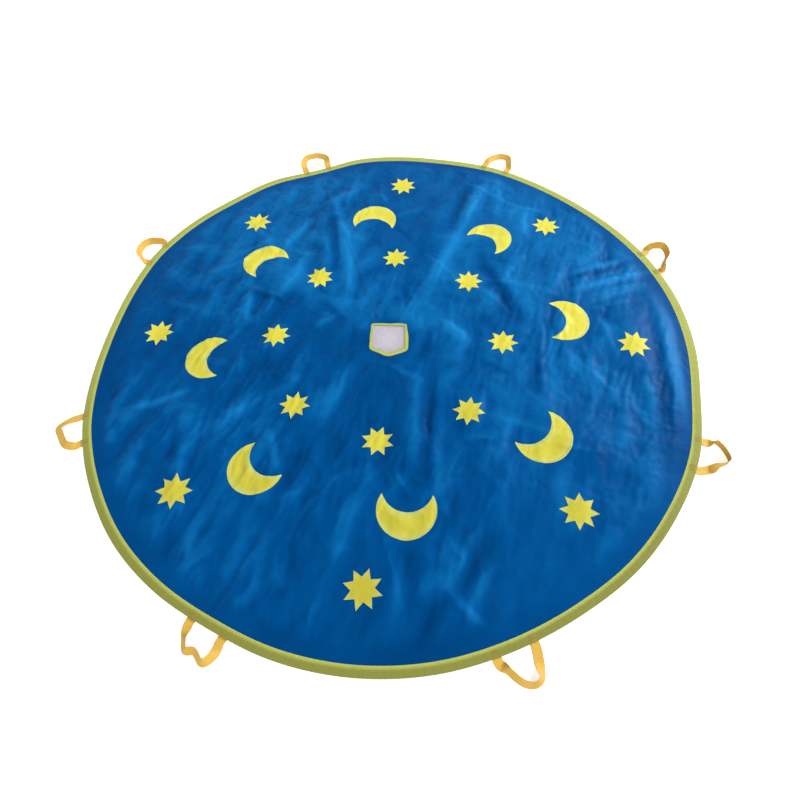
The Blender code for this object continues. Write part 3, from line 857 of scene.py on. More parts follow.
@dataclass(frozen=True)
class Thread:
    """A row of stitches: short bodies of sewing thread that dip into the cloth at both ends."""

    radius: float = 0.00042
    length: float = 0.0034
    pitch: float = 0.0044
    rings: tuple[Triple, ...] = ((0.18, 0.8, 0.15), (0.5, 1.0, 0.45), (0.82, 0.8, 0.15))
    dip: float = 0.6

    def along(self, line: np.ndarray, closed: bool) -> tuple[np.ndarray, np.ndarray]:
        """Place stitches along a line in plan.

        Args:
            line: Points of the line, x and y.
            closed: Whether the line's end joins its start.

        Returns:
            Starts and ends of the stitches, x and y.
        """
        line, gone = measured(line, closed)
        count = max(1, int(gone[-1] / self.pitch))
        starts = np.arange(count) * gone[-1] / count
        return walked(line, gone, starts), walked(line, gone, np.minimum(starts + self.length, gone[-1]))

    def zigzag(self, outer: np.ndarray, inner: np.ndarray) -> tuple[np.ndarray, np.ndarray]:
        """Place stitches that run to and fro between two closed lines with as many points.

        Args:
            outer: Points of the outer line.
            inner: Points of the inner line.

        Returns:
            Starts and ends of the stitches.
        """
        outer, gone = measured(outer)
        count = 2 * int(gone[-1] / self.pitch / 2.0)
        marks = np.arange(count + 1) * gone[-1] / count
        even = (np.arange(count + 1) % 2 == 0)[:, None]
        spots = np.where(even, walked(outer, gone, marks), walked(measured(inner)[0], gone, marks))
        return spots[:-1], spots[1:]

    def sew(self, surface: Surface, starts: np.ndarray, ends: np.ndarray) -> None:
        """Add one small spindle per stitch, of three rings of four corners between two poles.

        Args:
            surface: Mesh to add to.
            starts: Starting points, x, y, z.
            ends: End points, x, y, z.
        """
        run = unit(ends - starts)
        side = unit(np.cross(run, -DOWN))
        up = np.cross(side, run) * self.radius
        side *= self.radius
        turns = np.arange(4) * QUARTER + QUARTER / 2.0
        around = np.cos(turns)[:, None] * side[:, None] + np.sin(turns)[:, None] * up[:, None]
        rings = [
            (starts + (ends - starts) * share + up * rise)[:, None] + size * around for share, size, rise in self.rings
        ]
        poles = [(end - up * self.dip)[:, None] for end in (starts, ends)]
        numbers = surface.add_corners(np.concatenate([poles[0], *rings, poles[1]], axis=1))
        here = np.arange(4)
        after = (here + 1) % 4
        for low, high in ((1, 5), (5, 9)):
            cells = np.stack([low + here, low + after, high + after, high + here], axis=-1)
            surface.add_faces(numbers[:, cells].reshape(-1, 4))
        caps = [(0 * here, 1 + after, 1 + here), (13 + 0 * here, 9 + here, 9 + after)]
        for cap in caps:
            surface.add_faces(numbers[:, np.stack(cap, axis=-1)].reshape(-1, 3))


def weave(
    add: Callable[..., bpy.types.Node], place: bpy.types.Node, pitch: float, ribbed: bool = False
) -> bpy.types.Node:
    """Add a plain weave: one sine along each direction, half a wave per thread, multiplied together.

    Args:
        add: What adds a node to the material.
        place: Texture coordinates, whose UV is in metres.
        pitch: Distance between two threads, in metres.
        ribbed: Whether only the ribs across the length show.

    Returns:
        Node that gives -1 to 1.
    """
    split = add("SeparateXYZ", {0: place.outputs["UV"]})
    waves = []
    for axis, flat in (("X", False), ("Y", ribbed)):
        scale, shift = (0.0, QUARTER) if flat else (math.pi / pitch, 0.0)
        scaled = add("Math", {0: split.outputs[axis], 1: scale, 2: shift}, operation="MULTIPLY_ADD")
        waves.append(add("Math", {0: scaled}, operation="SINE"))
    return add("Math", {0: waves[0], 1: waves[1]}, operation="MULTIPLY")


@dataclass(frozen=True)
class NylonTaffeta:
    """Calendered nylon taffeta: plain-woven filament yarn, pressed smooth, so it has a soft satin sheen."""

    deep: str = "#002F60"
    middle: str = "#014E8E"
    pale: str = "#147DC2"
    thread_pitch: float = 0.0022

    def build(self) -> bpy.types.Material:
        """Make the material. Real threads lie 0.25 mm apart; they are drawn 2.2 mm apart to show at all."""
        material = bpy.data.materials.new("calendered_nylon_taffeta")
        add = empty_tree(material)
        place = add("TexCoord")
        spot = place.outputs["Object"]
        # The attribute read here is painted sheen and shade. With the random cloud, it picks the blue from the ramp.
        tone = add("Attribute", attribute_name="tone")
        cloud = add("TexNoise", {"Vector": spot, "Scale": 7.0, "Detail": 4.0})
        shade = add("Math", {0: cloud, 1: 0.4, 2: tone.outputs["Fac"]}, operation="MULTIPLY_ADD")
        colour = add("ValToRGB", {"Fac": shade}, ramp=((0.0, self.deep), (0.5, self.middle), (1.0, self.pale)))
        rough = {"Vector": spot, "Scale": 21.0, "Detail": 3.0, "Distortion": 0.6}
        crumple = add("TexNoise", rough, noise_type="RIDGED_MULTIFRACTAL")
        rumpled = add("Bump", {"Strength": 0.7, "Distance": 0.0024, "Height": crumple})
        threads = weave(add, place, self.thread_pitch)
        woven = add("Bump", {"Strength": 0.35, "Distance": 0.00012, "Height": threads, "Normal": rumpled})
        look = {
            "Base Color": colour,
            "Roughness": add("MapRange", {"Value": cloud, "To Min": 0.36, "To Max": 0.50}),
            "Normal": woven,
            "Specular IOR Level": 0.05,
            "Specular Tint": linear("#3FA0FF"),
            "Sheen Weight": 0.03,
            "Sheen Roughness": 0.35,
            "Sheen Tint": linear("#1588DC"),
        }
        add("OutputMaterial", {"Surface": add("BsdfPrincipled", look)})
        return material


@dataclass(frozen=True)
class PlainCloth:
    """Plain-woven dyed cloth, matt: its threads cross one over one, and its colour varies a little."""

    name: str
    shade: str
    other: str
    rim: str
    thread_pitch: float
    roughness: float
    weave_height: float = 0.00012
    ribbed: bool = False

    def build(self) -> bpy.types.Material:
        """Make the material: the shade in the middle, the rim colour where the mark "rim" is 1.

        Where the mark of painted light is above 0 the colour is paler, and deeper below 0, by that share: painted light
        on the figures, paler towards the far side.
        """
        material = bpy.data.materials.new(self.name)
        add = empty_tree(material)
        place = add("TexCoord")
        spot = place.outputs["Object"]
        edge, fade = (add("Attribute", attribute_name=mark).outputs["Fac"] for mark in ("rim", "fade"))
        cloud = add("TexNoise", {"Vector": spot, "Scale": 22.0, "Detail": 5.0})
        patch = add("Mix", {0: cloud, 6: linear(self.shade), 7: linear(self.other)}, data_type="RGBA")
        colour = add("Mix", {0: edge, 6: patch.outputs[2], 7: linear(self.rim)}, data_type="RGBA")
        threads = weave(add, place, self.thread_pitch, self.ribbed)
        # Painted shade in the grooves between threads and painted highlight on their crests, multiplied into the
        # colour.
        painted_weave_light = add("MapRange", {"Value": threads, "From Min": -1.0, "To Min": 0.88, "To Max": 1.05})
        level = add("Math", {0: painted_weave_light, 1: fade, 2: painted_weave_light}, operation="MULTIPLY_ADD")
        shaded = add("Mix", {0: 1.0, 6: colour.outputs[2], 7: level}, data_type="RGBA", blend_type="MULTIPLY")
        slub = add("TexNoise", {"Vector": spot, "Scale": 120.0, "Detail": 3.0})
        soft = add("Bump", {"Strength": 0.4, "Distance": 0.0006, "Height": slub})
        woven = add("Bump", {"Strength": 0.6, "Distance": self.weave_height, "Height": threads, "Normal": soft})
        look = {
            "Base Color": shaded.outputs[2],
            "Roughness": self.roughness,
            "Normal": woven,
            "Specular IOR Level": 0.25,
            "Sheen Weight": 0.08,
            "Sheen Roughness": 0.5,
        }
        add("OutputMaterial", {"Surface": add("BsdfPrincipled", look)})
        return material


@dataclass(frozen=True)
class HerringboneWebbing:
    """Polypropylene webbing: thick yarns woven in slanting ribs that meet along the middle, slightly glossy."""

    shade: str = "#ECC454"
    other: str = "#E0AB42"
    selvedge: str = "#DFA843"
    width: float = 0.025
    yarn_pitch: float = 0.0030

    def build(self) -> bpy.types.Material:
        """Make the material. Real yarns lie 1.2 mm apart; they are drawn 3 mm apart so that they show."""
        material = bpy.data.materials.new("herringbone_polypropylene_webbing")
        add = empty_tree(material)
        place = add("TexCoord")
        split = add("SeparateXYZ", {0: place.outputs["UV"]})
        away = add("Math", {0: split.outputs["Y"]}, operation="ABSOLUTE")
        slant = add("Math", {0: split.outputs["X"], 1: away}, operation="ADD")
        scaled = add("Math", {0: slant, 1: TURN / self.yarn_pitch}, operation="MULTIPLY")
        ribs = add("Math", {0: scaled}, operation="SINE")
        level = add("MapRange", {"Value": ribs, "From Min": -1.0})
        mottle = add("TexNoise", {"Vector": place.outputs["Object"], "Scale": 28.0, "Detail": 4.0})
        yarn = add("Mix", {0: mottle, 6: linear(self.shade), 7: linear(self.other)}, data_type="RGBA")
        edge = {"Value": away, "From Min": self.width * 0.40, "From Max": self.width * 0.50, "To Max": 0.6}
        border = add("MapRange", edge)
        edged = add("Mix", {0: border, 6: yarn.outputs[2], 7: linear(self.selvedge)}, data_type="RGBA")
        # Painted shade between the ribs and painted highlight on them, multiplied into the colour.
        painted_rib_light = add("MapRange", {"Value": level, "To Min": 0.84, "To Max": 1.04})
        colour = add("Mix", {0: 1.0, 6: edged.outputs[2], 7: painted_rib_light}, data_type="RGBA", blend_type="MULTIPLY")
        look = {
            "Base Color": colour.outputs[2],
            "Roughness": 0.55,
            "Normal": add("Bump", {"Strength": 0.7, "Distance": 0.0003, "Height": level}),
            "Specular IOR Level": 0.35,
            "Sheen Weight": 0.05,
        }
        add("OutputMaterial", {"Surface": add("BsdfPrincipled", look)})
        return material


def spun_thread(name: str, shade: str, other: str, slot: Finish) -> Dressing:
    """Make a sewing thread, spun of short fibres: matt, of one colour all over."""
    return Dressing(PlainCloth("spun_thread_" + name, shade, other, shade, 0.0009, 0.6).build(), slot)


@dataclass
class Wardrobe:
    """All finishes, made once."""

    nylon: Dressing = field(init=False)
    figure: Dressing = field(init=False)
    tape: Dressing = field(init=False)
    webbing: Dressing = field(init=False)
    net: Dressing = field(init=False)
    seam_thread: Dressing = field(init=False)
    figure_thread: Dressing = field(init=False)
    tape_thread: Dressing = field(init=False)
    webbing_thread: Dressing = field(init=False)

    def __post_init__(self) -> None:
        """Make each finish."""
        figure = PlainCloth("plain_woven_applique", "#DDD743", "#D7C93C", "#D2E07E", 0.0019, 0.62)
        # The tape's third colour, a deep olive, is painted shade on its outer roll.
        tape = PlainCloth("ribbed_binding_tape", "#BFC866", "#B2B957", "#8A8C3C", 0.0024, 0.70, 0.00025, True)
        net = PlainCloth("knitted_polyester_net", "#ACA4B4", "#9891A4", "#A099AA", 0.0012, 0.68)
        self.nylon = Dressing(NylonTaffeta().build(), Finish.NYLON)
        self.figure = Dressing(figure.build(), Finish.FIGURE)
        self.tape = Dressing(tape.build(), Finish.TAPE)
        self.webbing = Dressing(HerringboneWebbing().build(), Finish.WEBBING)
        self.net = Dressing(net.build(), Finish.NET)
        self.seam_thread = spun_thread("blue", "#0B5AA0", "#084A88", Finish.NYLON)
        self.figure_thread = spun_thread("yellow", "#EBDC62", "#DCC94A", Finish.FIGURE)
        self.tape_thread = spun_thread("green", "#D3D77A", "#C3C765", Finish.TAPE)
        self.webbing_thread = spun_thread("gold", "#BE9E4A", "#AF9042", Finish.WEBBING)


@dataclass
class Gores:
    """The eight nylon gores and the rows of stitches that join them."""

    layout: Layout
    cloth: LaidCloth
    rows: int = 182
    columns: int = 140
    # Each gore's painted sheen: paler towards the back right, where the lamp's sheen falls on the cloth.
    tones: tuple[float, ...] = (0.17, 0.31, 0.36, 0.46, 0.37, 0.42, 0.20, 0.27)
    tone_softness: tuple[float, ...] = (0.45, 0.45, 0.10, 0.04, 0.40, 0.45, 0.45, 0.45)
    stitch_run: Pair = (0.068, 0.966)
    stitch_points: int = 400
    stitch_offset: float = 0.0032

    def grid(self, index: int) -> tuple[np.ndarray, np.ndarray]:
        """Lay out one gore's grid: straight lines beside both seams, and even angles between them.

        Args:
            index: Number of the gore, from 0.

        Returns:
            Points in plan, and the lift of the lapped edge.
        """
        layout = self.layout
        half = layout.seam_lap / 2.0
        first, last = layout.seam(index - 1), layout.seam(index)
        share = np.linspace(0.0, 1.0, self.rows)[:, None]
        distance = layout.vent_half_width + share * (layout.gore_radius - layout.vent_half_width)
        low = np.array([-1.0, -0.4, 0.4]) * half
        high = np.array([-half - 0.6 * layout.seam_step, -half, -0.4 * half, 0.4 * half, half])
        near, climb = np.arcsin(half / distance), np.arcsin((half + layout.seam_step) / distance)
        share = np.linspace(0.0, 1.0, self.columns)[None, :]
        between = (first + near) * (1.0 - share) + (last - climb) * share
        angle = [first + np.arcsin(low[None, :] / distance), between, last + np.arcsin(high[None, :] / distance)]
        flat = np.stack(layout.plan(distance, np.concatenate(angle, axis=1)), axis=-1)
        past = np.concatenate([np.full(len(low) + self.columns, -1.0), high])
        lift = layout.lap_lift * smooth_step(past, -half - layout.seam_step, -half)
        return flat, np.broadcast_to(lift, flat.shape[:-1])

    def tone(self, x: np.ndarray, y: np.ndarray) -> np.ndarray:
        """Painted sheen of each gore, palest towards the back right, with a rise to the next one as soft as the seam's
        share.

        Args:
            x: First coordinates.
            y: Second coordinates.

        Returns:
            Painted sheen, 0 for the deepest and 1 for the palest blue.
        """
        turned = (np.arctan2(y, x) - self.layout.first_gore) / self.layout.pitch
        here = np.floor(turned).astype(int)
        count = self.layout.gores
        tones, softness = np.array(self.tones), np.array(self.tone_softness)[here % count]
        share = smooth_step((turned - here - 0.5) / softness, -1.0, 1.0)
        return tones[here % count] * (1.0 - share) + tones[(here + 1) % count] * share

    def build(self, index: int, wardrobe: Wardrobe) -> None:
        """Make one gore and the two rows of stitches along the seam after it.

        Args:
            index: Number of the gore, from 0.
            wardrobe: The finishes.
        """
        layout, number = self.layout, index + 1
        flat, lap = self.grid(index)
        x, y = flat[..., 0], flat[..., 1]
        top, painted_fold_light = self.cloth.spread(flat, layout.cloth_top + lap)
        centre = layout.centre_line(index)
        out = x * math.cos(centre) + y * math.sin(centre)
        side = y * math.cos(centre) - x * math.sin(centre)
        surface, rows = Surface(), Surface()
        # This attribute carries painted sheen and shade: each gore's painted sheen plus the folds' painted light.
        closed_sheet(surface, top, np.stack([side, out], axis=-1), layout.cloth_thickness, tone=self.tone(x, y) + painted_fold_light)
        piece = surface.finish_on_canopy(f"nylon_gore_{number}", wardrobe.nylon, f"gore_{number}")
        thread = Thread()
        layer = layout.cloth_top + layout.lap_lift + layout.clear
        for offset in (-self.stitch_offset, self.stitch_offset):
            line = beside(layout.seam(index), np.linspace(*self.stitch_run, self.stitch_points), offset)
            thread.sew(rows, *(self.cloth.place(spots, layer) for spots in thread.along(line, closed=False)))
        rows.finish_on_canopy(f"seam_stitches_{number}", wardrobe.seam_thread)


class Shape(Enum):
    """Kinds of sewn-on figures."""

    CRESCENT = "crescent"
    OUTER_STAR = "outer_star"
    INNER_STAR = "inner_star"


@dataclass
class Figures:
    """The crescents and stars sewn on the gores, with a zigzag row round each."""

    layout: Layout
    cloth: LaidCloth
    thickness: float = 0.00035
    clearance: float = 0.00040
    points: int = 8
    notch: float = 0.58
    edge_steps: int = 8
    rings: int = 15
    star_radius: Pair = (0.054, 0.050)
    star_distance: Pair = (0.800, 0.380)
    outer_turns: tuple[float, ...] = (13.0, 5.0, 18.0, 8.0, 15.0, -4.0, -4.0, -5.0)
    inner_turns: tuple[float, ...] = (16.0, 8.0, 4.0, 0.0, 1.0, 14.0, 0.0, 4.0)
    steps: int = 84
    layers: int = 17
    crescent_radius: float = 0.084
    bite_radius: float = 0.075
    bite_shift: float = 0.068
    crescent_distance: float = 0.586
    crescent_offset: float = 0.099
    horn_blunting: float = 0.0015
    # Painted light on the figures: paler towards the far side, deeper towards the near side.
    fade_level: float = 0.05
    fade_slope: float = 0.36
    fade_limit: float = 0.10
    star_rim: float = 0.85
    star_rim_from: Pair = (0.42, 0.95)
    crescent_rim: float = 0.8
    side_rim_from: Pair = (0.35, 1.0)
    horn_rim_from: Pair = (0.62, 0.98)
    stitch_radius: float = 0.00036
    stitch_pitch: float = 0.0029

    def star(self, radius: float, turn: float) -> tuple[np.ndarray, np.ndarray]:
        """Lay out a star: rings that grow from the middle to straight edges between points and notches.

        Args:
            radius: Reach of the points. The notches lie at a share of it.
            turn: Angle of the first point from the side axis, in degrees.

        Returns:
            Rings of side and outward coordinates, anticlockwise, and how near the rim each point is.
        """
        corner = np.arange(2 * self.points)
        reach = np.where(corner % 2 == 0, radius, radius * self.notch)
        angle = math.radians(turn) + corner * math.pi / self.points
        tips = np.stack([reach * np.cos(angle), reach * np.sin(angle)], axis=-1)
        share = np.linspace(0.0, 1.0, self.edge_steps, endpoint=False)[None, :, None]
        outline = (tips[:, None] * (1.0 - share) + np.roll(tips, -1, axis=0)[:, None] * share).reshape(-1, 2)
        local = outline[None] * np.linspace(0.0, 1.0, self.rings)[:, None, None]
        reach = np.hypot(local[..., 0], local[..., 1]) / radius
        return local, self.star_rim * smooth_step(reach, *self.star_rim_from)

    def crescent(self) -> tuple[np.ndarray, np.ndarray]:
        """Lay out a crescent as a grid: from horn to horn, and from the inner arc to the outer one.

        A round less a bite of another round that is shifted towards the canopy's middle. The two arcs
        run over the same share, and straight lines join them.

        Returns:
            Rows by columns of side and outward coordinates, columns anticlockwise, and how near the rim
            each point is.
        """
        squares = self.bite_shift**2 + self.crescent_radius**2 - self.bite_radius**2
        drop = squares / (2.0 * self.bite_shift)
        arcs = []
        for radius, rise in ((self.bite_radius, self.bite_shift - drop), (self.crescent_radius, -drop)):
            half = math.acos(rise / radius) - self.horn_blunting / radius
            turn = -half * np.linspace(-1.0, 1.0, self.steps)
            arcs.append(radius * np.stack([np.sin(turn), np.cos(turn)], -1))
        arcs[0][:, 1] -= self.bite_shift
        across = np.linspace(0.0, 1.0, self.layers)[:, None, None]
        side = smooth_step(np.abs(np.linspace(-1.0, 1.0, self.layers)), *self.side_rim_from)[:, None]
        horn = smooth_step(np.abs(np.linspace(-1.0, 1.0, self.steps)), *self.horn_rim_from)[None, :]
        return arcs[0][None] * (1.0 - across) + arcs[1][None] * across, self.crescent_rim * np.maximum(side, horn)

    def build(self, index: int, wardrobe: Wardrobe) -> None:
        """Make the three figures of one gore and their stitches.

        Args:
            index: Number of the gore, from 0.
            wardrobe: The finishes.
        """
        number, centre = index + 1, self.layout.centre_line(index)
        top = self.layout.cloth_top + self.clearance + self.thickness
        thread, rows = Thread(radius=self.stitch_radius, pitch=self.stitch_pitch), Surface()
        turns = (self.outer_turns[index], self.inner_turns[index])
        stars = [(self.star(*size), far, 0.0) for *size, far in zip(self.star_radius, turns, self.star_distance)]
        layouts = ((self.crescent(), self.crescent_distance, self.crescent_offset), *stars)
        for kind, ((local, rim), distance, offset) in zip(Shape, layouts):
            flat = beside(centre, distance + local[..., 1], offset + local[..., 0])
            # Painted light: the figures grow paler towards the far side and deeper towards the near side.
            fade = np.minimum(self.fade_level + self.fade_slope * flat[..., 1], self.fade_limit)
            surface, grid = Surface(), self.cloth.place(flat, top)
            if kind is Shape.CRESCENT:
                closed_sheet(surface, grid, local, self.thickness, rim=rim, fade=fade)
                line, inset, outline = (
                    np.concatenate([rows_of[-1 - step], rows_of[step, ::-1]])
                    for rows_of, step in ((flat, 0), (flat, 2), (local, 0))
                )
            else:
                closed_disc(surface, grid, local, self.thickness, rim=rim, fade=fade)
                line, inset, outline = flat[-1], flat[-2], local[-1]
            piece = surface.finish_on_canopy(
                f"applique_{kind.value}_{number}", wardrobe.figure, f"{kind.value}_{number}"
            )
            layer = top + self.layout.clear
            thread.sew(rows, *(self.cloth.place(spots, layer) for spots in thread.zigzag(line, inset)))
        rows.finish_on_canopy(f"figure_stitches_{number}", wardrobe.figure_thread)


def carry_tape(
    cloth: LaidCloth, angle: np.ndarray, parts: list[tuple], half: float, length: float
) -> tuple[np.ndarray, np.ndarray, np.ndarray]:
    """Carry a folded tape round the canopy.

    Half the thickness to both sides of the tape's middle line makes its profile.

    Args:
        cloth: What it lies on.
        angle: Angles of the stations.
        parts: Parts of the middle line, each a radius and a height for stations by points.
        half: Half the thickness.
        length: Length of the tape.

    Returns:
        Sections, their radius and their pattern coordinates.
    """
    line = [np.stack(np.broadcast_arrays(*part, angle[:, None])[:2], axis=-1) for part in parts]
    line = np.concatenate(line, axis=1)
    run = unit(np.gradient(line, axis=1))
    normal = half * np.stack([-run[..., 1], run[..., 0]], axis=-1)
    profile = np.concatenate([line + normal, (line - normal)[:, ::-1]], axis=1)
    flat = profile[..., :1] * np.stack([np.cos(angle), np.sin(angle)], axis=-1)[:, None]
    along = np.linspace(0.0, length, len(angle) + 1)
    places = np.stack(np.meshgrid(along, measured(profile[0])[1], indexing="ij"), axis=-1)
    return cloth.place(flat, profile[..., 1]), profile[..., 0], places


@dataclass
class RimBinding:
    """Ribbed tape folded over the rim and sewn through, tightest at its inner edges."""

    layout: Layout
    cloth: LaidCloth
    width: float = 0.0280
    thickness: float = 0.0006
    stations: int = 1500
    bottom: float = 0.0017
    full: float = 0.0045
    pinched: float = 0.00345
    gather: float = 0.00028
    lap_ring: float = 0.974
    lap_end: float = 0.016
    area_share: float = 0.985
    rise: Pair = (0.06, 0.5)
    gather_waves: Pair = (290.0, 37.0)
    # Painted shade on the tape's outer roll: where it starts, and how much of it stays at the back.
    painted_shade_from: Pair = (0.9735, 0.9845)
    painted_shade_back_share: float = 0.30
    painted_shade_back_from: Pair = (45.0, 100.0)
    stitch_insets: Pair = (0.0254, 0.0218)
    stitch_radius: float = 0.00045

    def top(self, inset: np.ndarray | float, angle: np.ndarray) -> np.ndarray:
        """Height of the upper layer's middle: pinched to the cloth at the inner edge, fuller outwards.

        Args:
            inset: Distance inwards from the rim.
            angle: Angle round the canopy.

        Returns:
            Heights in metres where the cloth lies flat.
        """
        share = 1.0 - inset / self.width
        full = smooth_step(share, *self.rise)
        pinched = self.pinched + self.layout.lap(angle, self.lap_ring, self.lap_end)
        many, few = self.gather_waves
        gather = self.gather * np.sin(angle * many + 2.0 * np.sin(angle * few)) * smooth_step(share, 0.04, 0.3)
        gather = gather * (1.0 - smooth_step(share, 0.6, 0.85))
        return pinched * (1.0 - full) + self.full * full + gather

    def build(self, wardrobe: Wardrobe) -> None:
        """Make the tape and its two rows of stitches.

        The tape's middle line runs outwards on top, round a half circle at the rim and back below. Its
        outer part takes the deep olive as painted shade, full at the front and weaker at the back.

        Args:
            wardrobe: The finishes.
        """
        layout, half = self.layout, self.thickness / 2.0
        angle = layout.first_gore + np.arange(self.stations) * TURN / self.stations
        low = self.bottom + half
        bend = (self.full - low) / 2.0
        inset, back = np.linspace(self.width, bend + half, 11), np.linspace(bend + half, self.width, 7)
        turn = np.linspace(QUARTER, -QUARTER, 8)[1:-1]
        parts = [
            (layout.rim_radius - inset, self.top(inset, angle[:, None])),
            (layout.rim_radius - bend - half + bend * np.cos(turn), low + bend + bend * np.sin(turn)),
            (layout.rim_radius - back, low),
        ]
        length = TURN * layout.rim_radius
        sections, radius, places = carry_tape(self.cloth, angle, parts, half, length)
        # Painted shade on the outer roll, full at the front and weaker towards the back.
        front = np.abs((np.degrees(angle) + 90.0 + 180.0) % 360.0 - 180.0)
        strength = 1.0 - (1.0 - self.painted_shade_back_share) * smooth_step(front, *self.painted_shade_back_from)[:, None]
        surface, rows = Surface(), Surface()
        closed_tube(surface, sections, places, ring=True, rim=strength * smooth_step(radius, *self.painted_shade_from))
        piece = surface.finish_on_canopy("rim_tape", wardrobe.tape, "rim_binding")
        thread = Thread(radius=self.stitch_radius)
        for inset_row in self.stitch_insets:
            ring = layout.rim_radius - inset_row
            line = ring * np.stack([np.cos(angle), np.sin(angle)], axis=-1)
            spots = []
            for flat in thread.along(line, closed=True):
                layer = self.top(inset_row, np.arctan2(flat[:, 1], flat[:, 0])) + half + layout.clear
                spots.append(self.cloth.place(flat, layer))
            thread.sew(rows, *spots)
        rows.finish_on_canopy("rim_stitches", wardrobe.tape_thread)


@dataclass
class Vent:
    """Soft square vent: a tape folded over the cut edge, and a fine net under it."""

    layout: Layout
    cloth: LaidCloth
    lip: float = 0.002
    tape_width: float = 0.0115
    tape_thickness: float = 0.0005
    tape_bottom: float = 0.0021
    tape_top: float = 0.00375
    back_width: float = 0.007
    hidden_width: float = 0.0095
    lap_end: float = 0.013
    uneven: Pair = (0.30, 0.05)
    crown: float = 0.0007
    gather: float = 0.00022
    stations: int = 256
    stitch_inset: float = 0.0078
    stitch_lift: float = 0.0006
    gaps: int = 33
    strand: float = 0.40
    hem: float = 0.007
    net_top: float = 0.0015
    net_thickness: float = 0.0004
    net_area_share: float = 0.93
    net_wander: float = 0.0005
    net_sag: float = 0.0009
    net_ripple: float = 0.0003

    def build_tape(self, wardrobe: Wardrobe) -> None:
        """Make the tape round the vent: wide on top, folded over the edge and back under the gores.

        Args:
            wardrobe: The finishes.
        """
        layout, half = self.layout, self.tape_thickness / 2.0
        angle = (np.arange(self.stations) * TURN / self.stations)[:, None]
        inner = layout.vent_radius(angle, layout.vent_half_width - self.lip)
        wide = self.tape_width * (1.0 + self.uneven[0] * np.cos(angle + 0.9) + self.uneven[1] * np.sin(7.0 * angle))
        low, high = self.tape_bottom, self.tape_top + layout.lap(angle, inner, self.lap_end)
        bend = (high - low) / 2.0
        share, turn = np.linspace(1.0, 0.0, 9), np.linspace(QUARTER, -QUARTER, 7)[1:-1]
        gather = self.gather * np.sin(angle * 34.0 + np.sin(angle * 5.0)) * share
        start = inner + half
        parts = [
            (start + share * (wide - bend) + bend, high + self.crown * np.sin(np.pi * share) + gather),
            (start + bend * (1.0 - np.cos(turn)), low + bend + bend * np.sin(turn)),
            (start + np.linspace(0.0, 1.0, 5) * self.back_width + bend, low),
        ]
        length = 8.0 * layout.vent_half_width
        sections, radius, places = carry_tape(self.cloth, angle[:, 0], parts, half, length)
        surface, rows = Surface(), Surface()
        rim = 0.5 * (1.0 - smooth_step(radius - start, 0.0, 0.004))
        closed_tube(surface, sections, places, ring=True, rim=rim)
        piece = surface.finish_on_canopy("vent_edge_tape", wardrobe.tape, "vent_tape")
        thread = Thread(radius=0.0004, length=0.003, pitch=0.004)
        line = (inner + self.stitch_inset) * np.concatenate([np.cos(angle), np.sin(angle)], axis=1)
        layer = self.tape_top + self.tape_thickness + self.stitch_lift
        thread.sew(rows, *(self.cloth.place(spots, layer) for spots in thread.along(line, closed=True)))
        rows.finish_on_canopy("vent_stitches", wardrobe.tape_thread)

    def build_net(self, wardrobe: Wardrobe) -> None:
        """Make the net: crossing strands that leave a square gap in each cell, sagging in the middle.

        Args:
            wardrobe: The finishes.
        """
        layout = self.layout
        pitch = 2.0 / (self.gaps + self.strand)
        starts = -1.0 + pitch * np.arange(self.gaps + 1)
        lines = np.sort(np.concatenate([starts, starts + pitch * self.strand]))
        across, along = np.meshgrid(lines, lines, indexing="ij")
        angle = np.arctan2(along, across)
        largest = np.maximum(np.abs(np.cos(angle)), np.abs(np.sin(angle)))
        nearness = np.maximum(np.abs(across), np.abs(along)) ** 2
        rounding = 1.0 + (layout.vent_radius(angle, 1.0) * largest - 1.0) * nearness
        half_width = layout.vent_half_width + self.hem
        wander = self.net_wander * lattice_noise(across * 6.0, along * 6.0, 12.0)
        spots = np.stack([across * rounding * half_width + wander, along * rounding * half_width - wander], axis=-1)
        sag = self.net_sag * (1.0 - nearness) - self.net_ripple * lattice_noise(across * 3.0, along * 3.0, 13.0)
        top = self.cloth.place(spots, self.net_top - sag)
        surface = Surface()
        above, below = (surface.add_corners(top + drop * DOWN, rim=0.0) for drop in (0.0, self.net_thickness))
        count = len(lines)
        solid = np.zeros((count + 1, count + 1), dtype=bool)
        solid[1:-1, 1:-1] = True
        solid[2:-1:2, 2:-1:2] = False
        inner = solid[1:-1, 1:-1]

        def faces(cells: np.ndarray, layers: list, steps: list) -> None:
            """Add a face for each marked cell.

            Args:
                cells: Marks of the cells.
                layers: Corner numbers of the layer that each of the four corners is in.
                steps: Rows down and columns right from the cell to each corner.
            """
            row, column = np.nonzero(cells)
            corners = [(row + down, column + right) for down, right in steps]
            picks = np.stack([layer[corner] for layer, corner in zip(layers, corners)], axis=-1)
            surface.add_faces(picks, np.stack([spots[corner] for corner in corners], axis=1))

        ring = [(0, 0), (1, 0), (1, 1), (0, 1)]
        faces(inner, [above] * 4, ring)
        faces(inner, [below] * 4, ring[::-1])
        for (down, right), here, there in zip([(0, -1), (1, 0), (0, 1), (-1, 0)], ring, ring[1:] + ring[:1]):
            bare = ~solid[1 + down : count + down, 1 + right : count + right]
            faces(inner & bare, [below, below, above, above], [here, there, there, here])
        piece = surface.finish_on_canopy("knitted_vent_net", wardrobe.net, "vent_net")


@dataclass(frozen=True)
class LoopPath:
    """How one handle's webbing lies: its bow's points, and how far each leg goes before it stands up.

    The points are in millimetres in the loop's plane: clockwise along the rim, and outwards from the
    hinge line. A leg's pair gives where it starts and ends its turn on to its edge, along the strap. The
    share of a quarter turn by which it stands up is below 0 where it leans outwards.
    """

    points: tuple[Pair, ...]
    left_turn: Pair
    right_turn: Pair
    upright: float


